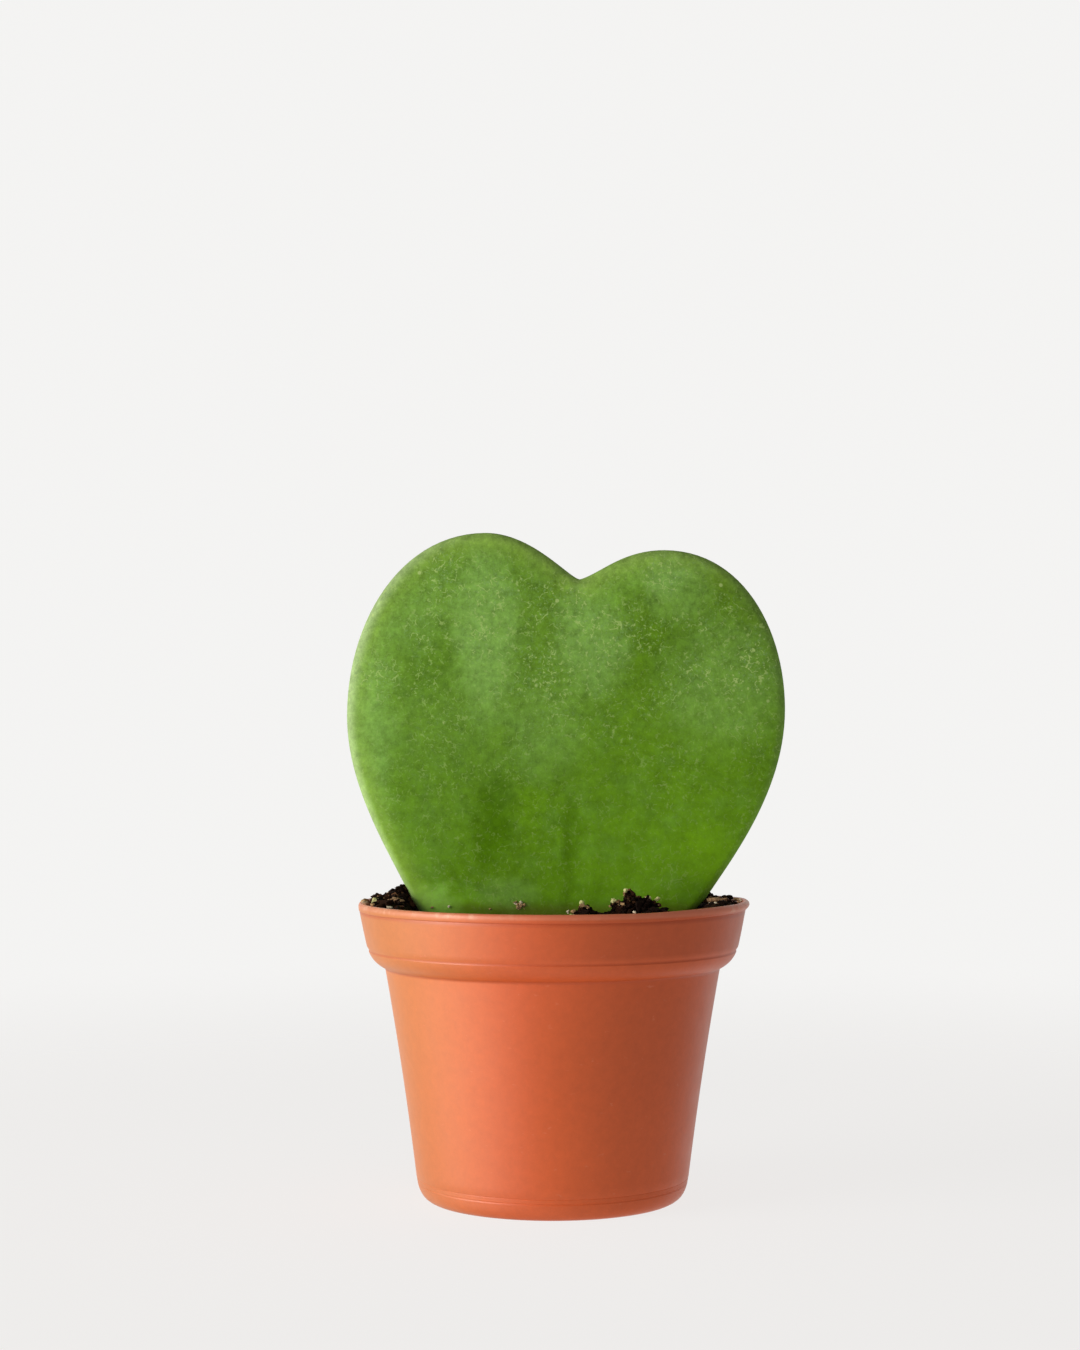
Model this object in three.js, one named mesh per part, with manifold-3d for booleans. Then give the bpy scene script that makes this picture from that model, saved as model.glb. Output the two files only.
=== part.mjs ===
// A heart-leaf hoya: one thick rooted leaf standing in potting mix in a small moulded nursery pot.
// Millimetres, +Z up. The origin is the middle of the pot's underside, on the surface it stands on.
// The heart faces -Y, and +X is to the right of someone who looks at that face.
import * as THREE from "three";
import { mergeVertices } from "three/addons/utils/BufferGeometryUtils.js";
import Module from "manifold-3d";

const wasm = await Module();
wasm.setup();

// Driving dimensions of the pot
const RIM_RADIUS = 30;
const POT_HEIGHT = 45.3;
const WALL = 0.8;
const FLOOR = 1.6;
const POT_SIDES = 48;

// Heights of the pot's features, above its underside
const LIP_UNDERSIDE = POT_HEIGHT - 1.3;
const CREASE_HEIGHT = POT_HEIGHT - 7;
const SHOULDER_HEIGHT = POT_HEIGHT - 9.8;
const CORNER_HEIGHT = 2.6;

// Radii of the pot's features
const LIP_OVERHANG = 0.6;
const COLLAR_RADIUS = RIM_RADIUS - LIP_OVERHANG;
const CREASE_RADIUS = 28.4;
const BODY_TOP_RADIUS = 25.6;
const BODY_FOOT_RADIUS = 20.8;
const WALL_HOLLOW = 0.4;
const FOOT_OUTER_RADIUS = 19.3;
const FOOT_INNER_RADIUS = 16.6;
const GATE_PAD_RADIUS = 6.5;
const RECESS = 0.7;
const DRAIN_HOLES = 5;
const DRAIN_RADIUS = 2.1;
const DRAIN_CIRCLE = 11.6;

// Driving dimensions of the leaf
const BLADE_THICKNESS = 3.8;
const EDGE_ROUNDING = 2.6;
const LEAN_BACK = THREE.MathUtils.degToRad(3);
const BLADE_BASE = new THREE.Vector2(0.8, POT_HEIGHT - 11);
const BLADE_HEART = new THREE.Vector2(2.1, POT_HEIGHT + 24);
const SIDE_CURL = 1.6;
const HALF_BREADTH = 34;
const FOLD_HEIGHT = 0.22;
const FOLD_PITCH = 15;
const MIDRIB_HEIGHT = 1.1;
const MIDRIB_HALF_WIDTH = 1.8;
const MIDRIB_LENGTH = 50;
const STALK_RADIUS = 1.7;
const STALK_SUNK = 7;
const STALK_END = new THREE.Vector3(BLADE_BASE.x - 0.5, -0.6, BLADE_BASE.y - 8);

// Driving dimensions of the roots, the potting mix and what lies on it
const GAP = 0.3;
const CALLUS_RADIUS = 2.2;
const ROOT_COUNT = 6;
const ROOT_STEPS = 4;
const ROOT_RADIUS = 0.6;
const ROOT_REACH = 13.6;
const ROOT_DEPTH = FLOOR + 3.5;
const MIX_LEVEL = POT_HEIGHT;
const BRIM_HEIGHT = POT_HEIGHT - 1.8;
const EDGE_DROP = 0.5;
const CRUMB_COUNT = 56;
const DIP = 2.3;
const MIX_SIDES = 48;
const MIX_RINGS = 12;

const FULL_TURN = 2 * Math.PI;
const GOLDEN_ANGLE = Math.PI * (3 - Math.sqrt(5));

// Repeatable random numbers from 0 to 1
function randomFrom(seed) {
  let state = seed;
  return () => {
    state = (state * 1664525 + 1013904223) >>> 0;
    return state / 4294967296;
  };
}

// Solids and meshes
function solidOf(geometry) {
  const bare = geometry.clone();
  bare.deleteAttribute("normal");
  bare.deleteAttribute("uv");
  const merged = mergeVertices(bare, 1e-3);
  return new wasm.Manifold(
    new wasm.Mesh({
      numProp: 3,
      vertProperties: merged.getAttribute("position").array,
      triVerts: new Uint32Array(merged.index.array),
    }),
  );
}

function largestBody(solid) {
  const bodies = solid.decompose();
  return bodies.reduce((best, body) => (body.volume() > best.volume() ? body : best));
}

function meshOf(name, solid, material) {
  const { vertProperties, triVerts } = solid.getMesh();
  const geometry = new THREE.BufferGeometry();
  geometry.setAttribute("position", new THREE.BufferAttribute(new Float32Array(vertProperties), 3));
  geometry.setIndex(new THREE.BufferAttribute(new Uint32Array(triVerts), 1));
  geometry.computeVertexNormals();
  const mesh = new THREE.Mesh(geometry, material);
  mesh.name = name;
  return mesh;
}

// A tube with flat ends along a curve, with twice as many sides as the half turn given
function tube(curve, radius, sidesPerHalf, steps) {
  const section = new THREE.Shape();
  section.absarc(0, 0, radius, 0, FULL_TURN);
  return new THREE.ExtrudeGeometry(section, { extrudePath: curve, steps, curveSegments: sidesPerHalf });
}

// The pot's outer wall, from the bottom corner up to the underside of the lip, as radius and height
function wallCurve(pointsPerCurve) {
  const wall = new THREE.Path();
  const halfway = (CORNER_HEIGHT + SHOULDER_HEIGHT) / 2;
  const waist = (BODY_FOOT_RADIUS + BODY_TOP_RADIUS) / 2 - WALL_HOLLOW;
  const neck = BODY_TOP_RADIUS;
  wall.moveTo(BODY_FOOT_RADIUS, CORNER_HEIGHT);
  wall.quadraticCurveTo(waist, halfway, neck, SHOULDER_HEIGHT - 0.5);
  wall.quadraticCurveTo(neck + 0.2, SHOULDER_HEIGHT + 0.1, neck + 0.9, SHOULDER_HEIGHT + 0.5);
  wall.quadraticCurveTo(CREASE_RADIUS - 0.5, CREASE_HEIGHT - 1.3, CREASE_RADIUS, CREASE_HEIGHT);
  wall.lineTo(CREASE_RADIUS + 0.35, CREASE_HEIGHT + 0.7);
  wall.quadraticCurveTo(COLLAR_RADIUS - 0.35, CREASE_HEIGHT + 2.6, COLLAR_RADIUS, LIP_UNDERSIDE);
  return wall.getPoints(pointsPerCurve);
}

// Moves a curve inwards by a distance, square to itself
function inset(points, distance) {
  return points.map((point, i) => {
    const before = points[Math.max(i - 1, 0)];
    const after = points[Math.min(i + 1, points.length - 1)];
    const along = after.clone().sub(before).normalize();
    return new THREE.Vector2(point.x - along.y * distance, point.y + along.x * distance);
  });
}

// The curve's radius at a height
function radiusAt(points, height) {
  const above = points.findIndex((point, i) => i > 0 && point.y >= height);
  const high = points[above < 1 ? points.length - 1 : above];
  const low = points[above < 1 ? points.length - 2 : above - 1];
  return low.x + ((height - low.y) / (high.y - low.y)) * (high.x - low.x);
}

// A solid of revolution about Z, from a profile of radius and height that starts and ends on the axis
function turned(profile, sides) {
  return new THREE.LatheGeometry(profile, sides).rotateX(Math.PI / 2);
}

// The pot: one moulded shell, with a rolled lip, a stepped collar, a foot ring and drain holes
function potSolid() {
  const wall = wallCurve(3);
  const inside = inset(wallCurve(2), WALL).filter((point) => point.y > FLOOR + 1);
  const profile = new THREE.Path();
  profile.moveTo(0, 0);
  profile.lineTo(GATE_PAD_RADIUS, 0);
  profile.lineTo(GATE_PAD_RADIUS + RECESS, RECESS);
  profile.lineTo(FOOT_INNER_RADIUS - RECESS, RECESS);
  profile.lineTo(FOOT_INNER_RADIUS, 0);
  profile.lineTo(FOOT_OUTER_RADIUS, 0);
  profile.quadraticCurveTo(BODY_FOOT_RADIUS - 0.45, 0.9, BODY_FOOT_RADIUS, CORNER_HEIGHT);
  for (const point of wall.slice(1)) profile.lineTo(point.x, point.y);
  profile.lineTo(RIM_RADIUS - 0.15, LIP_UNDERSIDE + 0.1);
  profile.quadraticCurveTo(RIM_RADIUS + 0.15, LIP_UNDERSIDE + 0.8, RIM_RADIUS - 0.35, POT_HEIGHT);
  profile.lineTo(COLLAR_RADIUS - 0.35, POT_HEIGHT);
  profile.lineTo(COLLAR_RADIUS - WALL, POT_HEIGHT - 0.6);
  for (const point of inside.reverse()) profile.lineTo(point.x, point.y);
  profile.quadraticCurveTo(BODY_FOOT_RADIUS - WALL, FLOOR, BODY_FOOT_RADIUS - WALL - 1.6, FLOOR);
  profile.lineTo(0, FLOOR);
  let pot = solidOf(turned(profile.getPoints(3), POT_SIDES));
  for (let hole = 0; hole < DRAIN_HOLES; hole += 1) {
    const angle = ((hole + 0.25) / DRAIN_HOLES) * FULL_TURN;
    const drill = new THREE.CylinderGeometry(DRAIN_RADIUS, DRAIN_RADIUS, 2 * FLOOR, 16)
      .rotateX(Math.PI / 2)
      .translate(DRAIN_CIRCLE * Math.cos(angle), DRAIN_CIRCLE * Math.sin(angle), RECESS);
    pot = pot.subtract(solidOf(drill));
  }
  return pot;
}

// The heart's outline seen from the front, as x and height. It starts at the notch between the lobes,
// goes down the left side, round the buried base, and up the right side. The left lobe stands higher.
function heartOutline(pointsPerCurve) {
  const rim = POT_HEIGHT;
  const heart = new THREE.Path();
  heart.moveTo(4.3, rim + 50.3);
  heart.bezierCurveTo(2.7, rim + 50.3, -3.1, rim + 57.6, -10.5, rim + 57.6);
  heart.bezierCurveTo(-23.6, rim + 57.6, -32.1, rim + 44.1, -32.1, rim + 29.1);
  heart.bezierCurveTo(-32.1, rim + 17.6, -25.4, rim + 7.1, -21.8, rim + 1.2);
  heart.bezierCurveTo(-18.4, rim - 4.9, -9.5, rim - 10.2, BLADE_BASE.x, BLADE_BASE.y);
  heart.bezierCurveTo(10.5, rim - 10.2, 19.7, rim - 4.9, 24.3, rim + 1.5);
  heart.bezierCurveTo(28.3, rim + 7.4, 36.3, rim + 17.8, 36.3, rim + 30.2);
  heart.bezierCurveTo(36.3, rim + 42.7, 29.7, rim + 54.9, 17.5, rim + 54.9);
  heart.bezierCurveTo(10.9, rim + 54.9, 7.6, rim + 51.3, 4.3, rim + 50.3);
  return heart.getPoints(pointsPerCurve).slice(0, -1);
}

// How far the blade's middle surface lies behind the plane y = 0. It leans back, and its sides curl back.
function bladeSag(x, z) {
  const across = (x - BLADE_HEART.x) / HALF_BREADTH;
  return Math.tan(LEAN_BACK) * (z - POT_HEIGHT) + SIDE_CURL * across * across;
}

// How far a point stands to the right of the midrib, which runs from the base through the heart's middle
function fromMidrib(x, z) {
  const up = (z - BLADE_BASE.y) / (BLADE_HEART.y - BLADE_BASE.y);
  return x - THREE.MathUtils.lerp(BLADE_BASE.x, BLADE_HEART.x, up);
}

// Folds that fan out up the face from the stalk, strongest low down
function bladeFolds(x, z, middle) {
  const up = THREE.MathUtils.clamp((z - BLADE_BASE.y) / (BLADE_HEART.y - BLADE_BASE.y), 0, 2);
  const pitch = FOLD_PITCH * (0.55 + 0.45 * up);
  return middle * FOLD_HEIGHT * (1 - 0.3 * up) * Math.cos((FULL_TURN * fromMidrib(x, z)) / pitch);
}

// The ridge of the midrib on the blade's back, which fades towards the notch
function midribRidge(x, z, middle) {
  const up = THREE.MathUtils.clamp((z - BLADE_BASE.y) / MIDRIB_LENGTH, 0, 1);
  return middle * MIDRIB_HEIGHT * (1 - up) * Math.exp(-((fromMidrib(x, z) / MIDRIB_HALF_WIDTH) ** 2));
}

// The blade as rings of points from the outline in to the heart's middle, on the front and on the back
function bladeGeometry(grow) {
  const outline = heartOutline(7);
  const shares = [1, 0.985, 0.955, 0.915, 0.84, 0.7, 0.52, 0.35, 0.16];
  const positions = [];
  const place = (share, point, side) => {
    const out = new THREE.Vector2().subVectors(point, BLADE_HEART);
    const reach = out.length();
    const inward = Math.min(((1 - share) * reach) / EDGE_ROUNDING, 1);
    const flat = Math.sqrt(1 - (1 - inward) ** 2);
    const at = out.multiplyScalar(share + (grow * share) / reach).add(BLADE_HEART);
    const middle = THREE.MathUtils.smoothstep((1 - share) * reach, 1, 12);
    const half = (BLADE_THICKNESS / 2) * flat + grow * Math.sign(flat);
    const relief = side < 0 ? bladeFolds(at.x, at.y, middle) : midribRidge(at.x, at.y, middle);
    positions.push(at.x, bladeSag(at.x, at.y) + side * (half + relief), at.y);
  };
  for (const point of outline) place(1, point, 0);
  for (const side of [-1, 1]) {
    for (const share of shares.slice(1)) for (const point of outline) place(share, point, side);
    place(0, outline[0], side);
  }
  return ringsToGeometry(positions, outline.length, shares.length);
}

// Joins the rings with triangles: outline, then the front's rings and middle, then the back's
function ringsToGeometry(positions, around, rings) {
  const index = [];
  const sideSize = (rings - 1) * around + 1;
  for (const side of [0, 1]) {
    const ringStart = (ring) => (ring === 0 ? 0 : around + side * sideSize + (ring - 1) * around);
    const face = (a, b, c) => (side === 0 ? index.push(a, b, c) : index.push(a, c, b));
    for (let ring = 0; ring < rings - 1; ring += 1) {
      for (let i = 0; i < around; i += 1) {
        const next = (i + 1) % around;
        face(ringStart(ring) + i, ringStart(ring) + next, ringStart(ring + 1) + i);
        face(ringStart(ring) + next, ringStart(ring + 1) + next, ringStart(ring + 1) + i);
      }
    }
    const middle = around + (side + 1) * sideSize - 1;
    for (let i = 0; i < around; i += 1) {
      face(ringStart(rings - 1) + i, ringStart(rings - 1) + ((i + 1) % around), middle);
    }
  }
  const geometry = new THREE.BufferGeometry();
  geometry.setAttribute("position", new THREE.Float32BufferAttribute(positions, 3));
  geometry.setIndex(index);
  return geometry;
}

// The stalk below the blade, rooted well up inside the blade's base
function stalkGeometry(grow) {
  const top = BLADE_BASE.y + STALK_SUNK;
  const curve = new THREE.CatmullRomCurve3([
    new THREE.Vector3(BLADE_BASE.x + 0.2, bladeSag(BLADE_BASE.x, top), top),
    new THREE.Vector3(BLADE_BASE.x, bladeSag(BLADE_BASE.x, BLADE_BASE.y), BLADE_BASE.y),
    new THREE.Vector3(0, 0, -grow).add(STALK_END),
  ]);
  return tube(curve, STALK_RADIUS + grow, 5, 5);
}

function leafSolid(grow) {
  return solidOf(bladeGeometry(grow)).add(solidOf(stalkGeometry(grow)));
}

// The swollen end of the cutting with its roots, which wander down and outwards through the mix
function rootsSolid(grow) {
  const random = randomFrom(11);
  const crown = new THREE.Vector3(0, 0, -GAP - CALLUS_RADIUS).add(STALK_END);
  const callus = new THREE.SphereGeometry(CALLUS_RADIUS + grow, 10, 7).translate(...crown);
  let roots = solidOf(callus);
  for (let i = 0; i < ROOT_COUNT; i += 1) {
    let turn = ((i + 0.4 * random()) / ROOT_COUNT) * FULL_TURN;
    const points = [crown.clone()];
    for (let step = 1; step <= ROOT_STEPS; step += 1) {
      const reach = (ROOT_REACH * step) / ROOT_STEPS + 0.5 * random();
      const drop = (crown.z - ROOT_DEPTH) * (step / ROOT_STEPS) ** 0.8;
      turn += 0.3 * (random() - 0.5);
      points.push(new THREE.Vector3(reach * Math.cos(turn), reach * Math.sin(turn), -drop).add(crown));
    }
    const tip = new THREE.IcosahedronGeometry(1.1 * (ROOT_RADIUS + grow), 0).translate(...points.at(-1));
    const root = tube(new THREE.CatmullRomCurve3(points), ROOT_RADIUS + grow, 3, 9);
    roots = roots.add(solidOf(root)).add(solidOf(tip));
  }
  return roots;
}

// Heaps of the mix: where they are, how wide and how high above the level
const HEAPS = [
  { x: -23.2, y: 0, width: 2.6, height: 2.2 },
  { x: -27, y: -5, width: 3.5, height: 0.5 },
  { x: 12.1, y: -9, width: 3.2, height: 3.7 },
  { x: 17, y: -11, width: 2.2, height: 1.7 },
  { x: 4.6, y: -12, width: 2.4, height: 1.8 },
  { x: 26, y: 2, width: 4.5, height: 0.2 },
  { x: 0, y: 14, width: 12, height: 1 },
  { x: -12, y: 18, width: 6, height: -0.9 },
];

// In front of the leaf the mix dips away from the rim
function frontDip(x, y) {
  const across = THREE.MathUtils.smoothstep(x, -23, -17) - THREE.MathUtils.smoothstep(x, 20, 25);
  const deep = THREE.MathUtils.smoothstep(y, -31, -8) - THREE.MathUtils.smoothstep(y, 3, 9);
  return -DIP * across * deep;
}

function mixHeight(x, y) {
  const heaped = HEAPS.reduce(
    (sum, heap) =>
      sum + heap.height * Math.exp(-((x - heap.x) ** 2 + (y - heap.y) ** 2) / heap.width ** 2),
    0,
  );
  const rough = 0.2 * Math.sin(0.9 * x + 1.3) * Math.cos(1.1 * y) + 0.14 * Math.sin(2.1 * x - 1.7 * y);
  return MIX_LEVEL + frontDip(x, y) + heaped + rough;
}

// The mix fills the pot to the brim, and its top is raised by the heaps
function mixGeometry() {
  const side = inset(wallCurve(2), WALL + GAP);
  const low = FLOOR + GAP;
  const brim = radiusAt(side, BRIM_HEIGHT);
  const profile = [new THREE.Vector2(0, low), new THREE.Vector2(radiusAt(side, low) - 1.2, low)];
  for (const point of side) {
    if (point.y > low + 1 && point.y < BRIM_HEIGHT - 0.5) profile.push(point);
  }
  profile.push(new THREE.Vector2(brim, BRIM_HEIGHT));
  for (let ring = 0; ring <= MIX_RINGS; ring += 1) {
    profile.push(new THREE.Vector2(brim * (ring ? 1 - ring / MIX_RINGS : 0.995), MIX_LEVEL));
  }
  const geometry = turned(profile, MIX_SIDES);
  const position = geometry.getAttribute("position");
  for (let i = 0; i < position.count; i += 1) {
    if (position.getZ(i) > MIX_LEVEL - 0.01) {
      const [x, y] = [position.getX(i), position.getY(i)];
      const edge = THREE.MathUtils.smoothstep(brim - Math.hypot(x, y), -0.3, 1.7);
      position.setZ(i, THREE.MathUtils.lerp(MIX_LEVEL - EDGE_DROP, mixHeight(x, y), edge));
    }
  }
  return geometry;
}

// One irregular lump: a squashed and turned polyhedron at a place
function lump(random, radius, squash, x, y, z) {
  return new THREE.IcosahedronGeometry(radius, 0)
    .scale(1, 0.7 + 0.3 * random(), squash)
    .rotateZ(FULL_TURN * random())
    .rotateX(0.8 * (random() - 0.5))
    .translate(x, y, z);
}

// Crumbs all over the top of the mix, sunk in to about half their height, and smaller in the dip
function crumbSolids() {
  const random = randomFrom(5);
  const brim = radiusAt(inset(wallCurve(2), WALL + GAP), BRIM_HEIGHT);
  return Array.from({ length: CRUMB_COUNT }, (_, i) => {
    const largest = 0.7 + 0.9 * random() ** 2;
    const reach = (brim - largest - 0.2) * Math.sqrt((i + 0.5) / CRUMB_COUNT);
    const angle = i * GOLDEN_ANGLE + 0.3 * random();
    const x = reach * Math.cos(angle);
    const y = reach * Math.sin(angle);
    const radius = largest * (1 + (0.35 * frontDip(x, y)) / DIP);
    return solidOf(lump(random, radius, 0.75, x, y, mixHeight(x, y) + 0.1 * radius));
  });
}

// Clods that stand out of the heaps: place, radius, and how far the top stands above the rim
const CLODS = [
  { x: 9.2, y: -9.6, radius: 1.4, top: 0.9 },
  { x: 11.5, y: -9, radius: 1.4, top: 2.5 },
  { x: 15.1, y: -9, radius: 1.6, top: 1.2 },
  { x: 17, y: -11, radius: 1.3, top: 0.8 },
  { x: 4.8, y: -12, radius: 1.4, top: 0.7 },
  { x: -23.4, y: -2, radius: 1.2, top: 2.6 },
  { x: -26.6, y: -4, radius: 1.1, top: 1.2 },
];

function clodSolids() {
  const random = randomFrom(17);
  return CLODS.map(({ x, y, radius, top }) =>
    solidOf(lump(random, radius, 0.9, x, y, POT_HEIGHT + top - 0.8 * radius)),
  );
}

// Loose pieces that lie half sunk in the mix: place, radius, and where it isn't on the mix itself,
// how far the middle stands above the rim
const GRAINS = {
  prefix: "grain_",
  seed: 3,
  stretch: 1,
  squash: 0.85,
  places: [
    { x: 9.2, y: -9.8, radius: 0.6, rise: 1 },
    { x: 11, y: -9.3, radius: 0.55, rise: 2.5 },
    { x: 14.4, y: -9.4, radius: 0.6, rise: 1.3 },
    { x: 15.8, y: -9.1, radius: 0.55, rise: 1.2 },
    { x: 4.4, y: -12.3, radius: 0.7, rise: 0.8 },
    { x: 3, y: -14.5, radius: 0.8 },
    { x: 7, y: -16, radius: 0.6 },
    { x: -14.5, y: -18.5, radius: 0.6 },
    { x: -27, y: -6.2, radius: 0.8 },
    { x: -18.5, y: 13, radius: 1 },
    { x: 10, y: 19, radius: 1.1 },
    { x: 20, y: 12, radius: 0.8 },
  ],
};
const CHIPS = {
  prefix: "bark_chip_",
  seed: 8,
  stretch: 1.3,
  squash: 0.35,
  places: [
    { x: 25.2, y: -3.5, radius: 1.5 },
    { x: -23.8, y: -6.5, radius: 1.3, rise: 0.9 },
    { x: 19.5, y: -13, radius: 1.2 },
    { x: -8, y: 16, radius: 1.8 },
    { x: 15.5, y: 9, radius: 1.5 },
  ],
};
const FIBRES = {
  prefix: "fibre_",
  seed: 21,
  stretch: 2.6,
  squash: 0.6,
  places: [
    { x: -5, y: -19, radius: 0.7 },
    { x: -6.5, y: -14.5, radius: 0.6 },
    { x: -16, y: 20, radius: 0.7 },
  ],
};

// Each loose piece, with the slightly larger hollow that it lies in
function strewn({ prefix, seed, stretch, squash, places }) {
  const random = randomFrom(seed);
  return places.map(({ x, y, radius, rise }, i) => {
    const middle = rise === undefined ? mixHeight(x, y) + 0.25 * radius : POT_HEIGHT + rise;
    const shape = lump(random, radius, squash, 0, 0, 0).scale(stretch, 1, 1).rotateZ(FULL_TURN * random());
    shape.computeBoundingBox();
    const size = shape.boundingBox.getSize(new THREE.Vector3());
    const grown = (extent) => (extent + 2 * GAP) / extent;
    const hollow = shape.clone().scale(grown(size.x), grown(size.y), grown(size.z));
    return {
      name: prefix + (i + 1),
      solid: solidOf(shape.translate(x, y, middle)),
      hollow: solidOf(hollow.translate(x, y, middle)),
    };
  });
}

// Materials
const finish = (color, roughness) => new THREE.MeshStandardMaterial({ color, roughness, metalness: 0 });
const terracottaPlastic = finish(0xc9633a, 0.55);
const leafSkin = finish(0x5a8a2c, 0.45);
const rootSkin = finish(0xc9b48c, 0.8);
const peat = finish(0x2a1d14, 0.95);
const paleGrain = finish(0xddd3bd, 0.85);
const bark = finish(0x8a5f3c, 0.85);
const paleFibre = finish(0xc4ad86, 0.85);

// The assembly
const loosePieces = [
  ...strewn(GRAINS).map((piece) => ({ ...piece, material: paleGrain })),
  ...strewn(CHIPS).map((piece) => ({ ...piece, material: bark })),
  ...strewn(FIBRES).map((piece) => ({ ...piece, material: paleFibre })),
];

function mixSolid() {
  let mix = solidOf(mixGeometry());
  for (const lumpSolid of [...crumbSolids(), ...clodSolids()]) mix = mix.add(lumpSolid);
  for (const piece of loosePieces) mix = mix.subtract(piece.hollow);
  mix = mix.subtract(leafSolid(GAP)).subtract(rootsSolid(GAP));
  return largestBody(mix);
}

const plant = new THREE.Group();
plant.add(meshOf("pot", potSolid(), terracottaPlastic));
plant.add(meshOf("potting_mix", mixSolid(), peat));
plant.add(meshOf("leaf", leafSolid(0), leafSkin));
plant.add(meshOf("roots", rootsSolid(0), rootSkin));
for (const piece of loosePieces) plant.add(meshOf(piece.name, piece.solid, piece.material));

export default plant;
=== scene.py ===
# %% [markdown]
# # A potted heart-leaf hoya
# One thick, heart-shaped leaf stands rooted in a small terracotta-coloured nursery pot.
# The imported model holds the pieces, their places and the size over all. It is loaded first and stays as it
# is. Each piece below is then modelled more finely in the same place, in metres.

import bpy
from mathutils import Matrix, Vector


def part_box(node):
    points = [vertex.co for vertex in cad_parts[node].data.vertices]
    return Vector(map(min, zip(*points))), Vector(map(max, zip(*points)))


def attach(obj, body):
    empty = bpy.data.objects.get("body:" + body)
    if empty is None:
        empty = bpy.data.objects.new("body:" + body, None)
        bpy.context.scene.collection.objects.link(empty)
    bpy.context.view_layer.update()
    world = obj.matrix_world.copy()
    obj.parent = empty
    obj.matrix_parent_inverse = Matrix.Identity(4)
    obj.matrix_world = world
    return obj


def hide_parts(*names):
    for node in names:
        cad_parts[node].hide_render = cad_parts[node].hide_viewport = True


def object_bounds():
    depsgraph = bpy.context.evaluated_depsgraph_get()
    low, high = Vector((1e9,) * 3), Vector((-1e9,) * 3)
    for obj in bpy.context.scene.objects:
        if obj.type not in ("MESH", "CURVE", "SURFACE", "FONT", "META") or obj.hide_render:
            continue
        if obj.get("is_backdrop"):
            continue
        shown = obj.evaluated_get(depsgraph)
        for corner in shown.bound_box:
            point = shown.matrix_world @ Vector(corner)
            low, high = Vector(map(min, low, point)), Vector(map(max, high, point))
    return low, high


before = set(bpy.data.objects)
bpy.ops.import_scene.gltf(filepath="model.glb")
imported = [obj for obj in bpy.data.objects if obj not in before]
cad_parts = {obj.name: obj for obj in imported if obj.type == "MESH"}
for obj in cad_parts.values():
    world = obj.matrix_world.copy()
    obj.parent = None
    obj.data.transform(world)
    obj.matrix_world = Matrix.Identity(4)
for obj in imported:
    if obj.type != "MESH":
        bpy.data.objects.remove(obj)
packed_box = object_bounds()
print("nodes:", ", ".join(sorted(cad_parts)))

# %% [markdown]
# Blender counts in metres. Sizes are written in millimetres, which suit a small pot, and turned into metres
# with MM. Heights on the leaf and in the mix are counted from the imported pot's rim, so RIM is read from it.
# Soil is full of chance, so there is one seeded generator: the same seed gives the same crumbs each time.

# %% Units and tools
import math
import random

import bpy
import numpy as np
from mathutils import Vector, noise

MM = 0.001
RIM = round(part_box("pot")[1][2] / MM, 1)
chance = random.Random(41)
print("the rim stands", RIM, "mm above the floor")

# %% [markdown]
# ## The camera
# The plant is seen level, from a little above the rim, about 36 cm away. A level camera keeps upright edges
# upright. A small lens shift puts the plant low and slightly right in the picture. Tilting the camera would
# make the pot's sides lean.

# %% Place the camera
CAMERA_AWAY = 360
CAMERA_ABOVE_RIM = 24
SENSOR_HEIGHT = 36
PICTURE_HEIGHT = 1350  # in pixels, as are the next three
FOCAL_LENGTH = 2326
CAMERA_SHIFT_X = -12.6
CAMERA_SHIFT_Y = 73
stand = (0, -CAMERA_AWAY * MM, (RIM + CAMERA_ABOVE_RIM) * MM)
bpy.ops.object.camera_add(location=stand, rotation=(math.pi / 2, 0, 0))
camera = bpy.context.object
camera.name = "level_camera"
camera.data.sensor_fit = "VERTICAL"
camera.data.sensor_height = SENSOR_HEIGHT
camera.data.lens = SENSOR_HEIGHT * FOCAL_LENGTH / PICTURE_HEIGHT
camera.data.shift_x = CAMERA_SHIFT_X / PICTURE_HEIGHT
camera.data.shift_y = CAMERA_SHIFT_Y / PICTURE_HEIGHT
camera.data.clip_start = 10 * MM
bpy.context.scene.camera = camera
print("lens", round(camera.data.lens, 2), "mm")

# %% [markdown]
# ## Small helpers for modelling
# An operator works on everything that is selected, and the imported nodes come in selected. So everything is
# deselected before a new piece is added, and a piece is opened alone in edit mode. Most pieces are closed
# with all their faces turned outwards.

# %% Open and close a piece in edit mode
def deselect_all():
    bpy.ops.object.select_all(action="DESELECT")


def select_alone(piece):
    deselect_all()
    piece.select_set(True)
    bpy.context.view_layer.objects.active = piece


def open_alone(piece, element="EDGE"):
    select_alone(piece)
    bpy.ops.object.mode_set(mode="EDIT")
    bpy.ops.mesh.select_mode(type=element)
    bpy.ops.mesh.select_all(action="SELECT")


def close_edit():
    bpy.ops.object.mode_set(mode="OBJECT")


def close_facing_out():
    bpy.ops.mesh.select_all(action="SELECT")
    bpy.ops.mesh.normals_make_consistent(inside=False)
    close_edit()


def keep_place():
    bpy.ops.object.transform_apply(location=True, rotation=True, scale=True)


# %% [markdown]
# Round things such as a pot grow ring by ring: the open edge is extruded to the next height, then resized to
# the next radius. One helper follows a list of radii and heights. Curves in such a list are bent between two
# ends by a third point that pulls on them.

# %% Grow rings, bend profiles, move points
def grow_rings(profile):
    for (radius, height), (next_radius, next_height) in zip(profile, profile[1:]):
        rise = (0, 0, (next_height - height) * MM)
        bpy.ops.mesh.extrude_edges_move(TRANSFORM_OT_translate={"value": rise})
        wider = next_radius / radius
        bpy.ops.transform.resize(value=(wider, wider, 1), center_override=(0, 0, 0))


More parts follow.
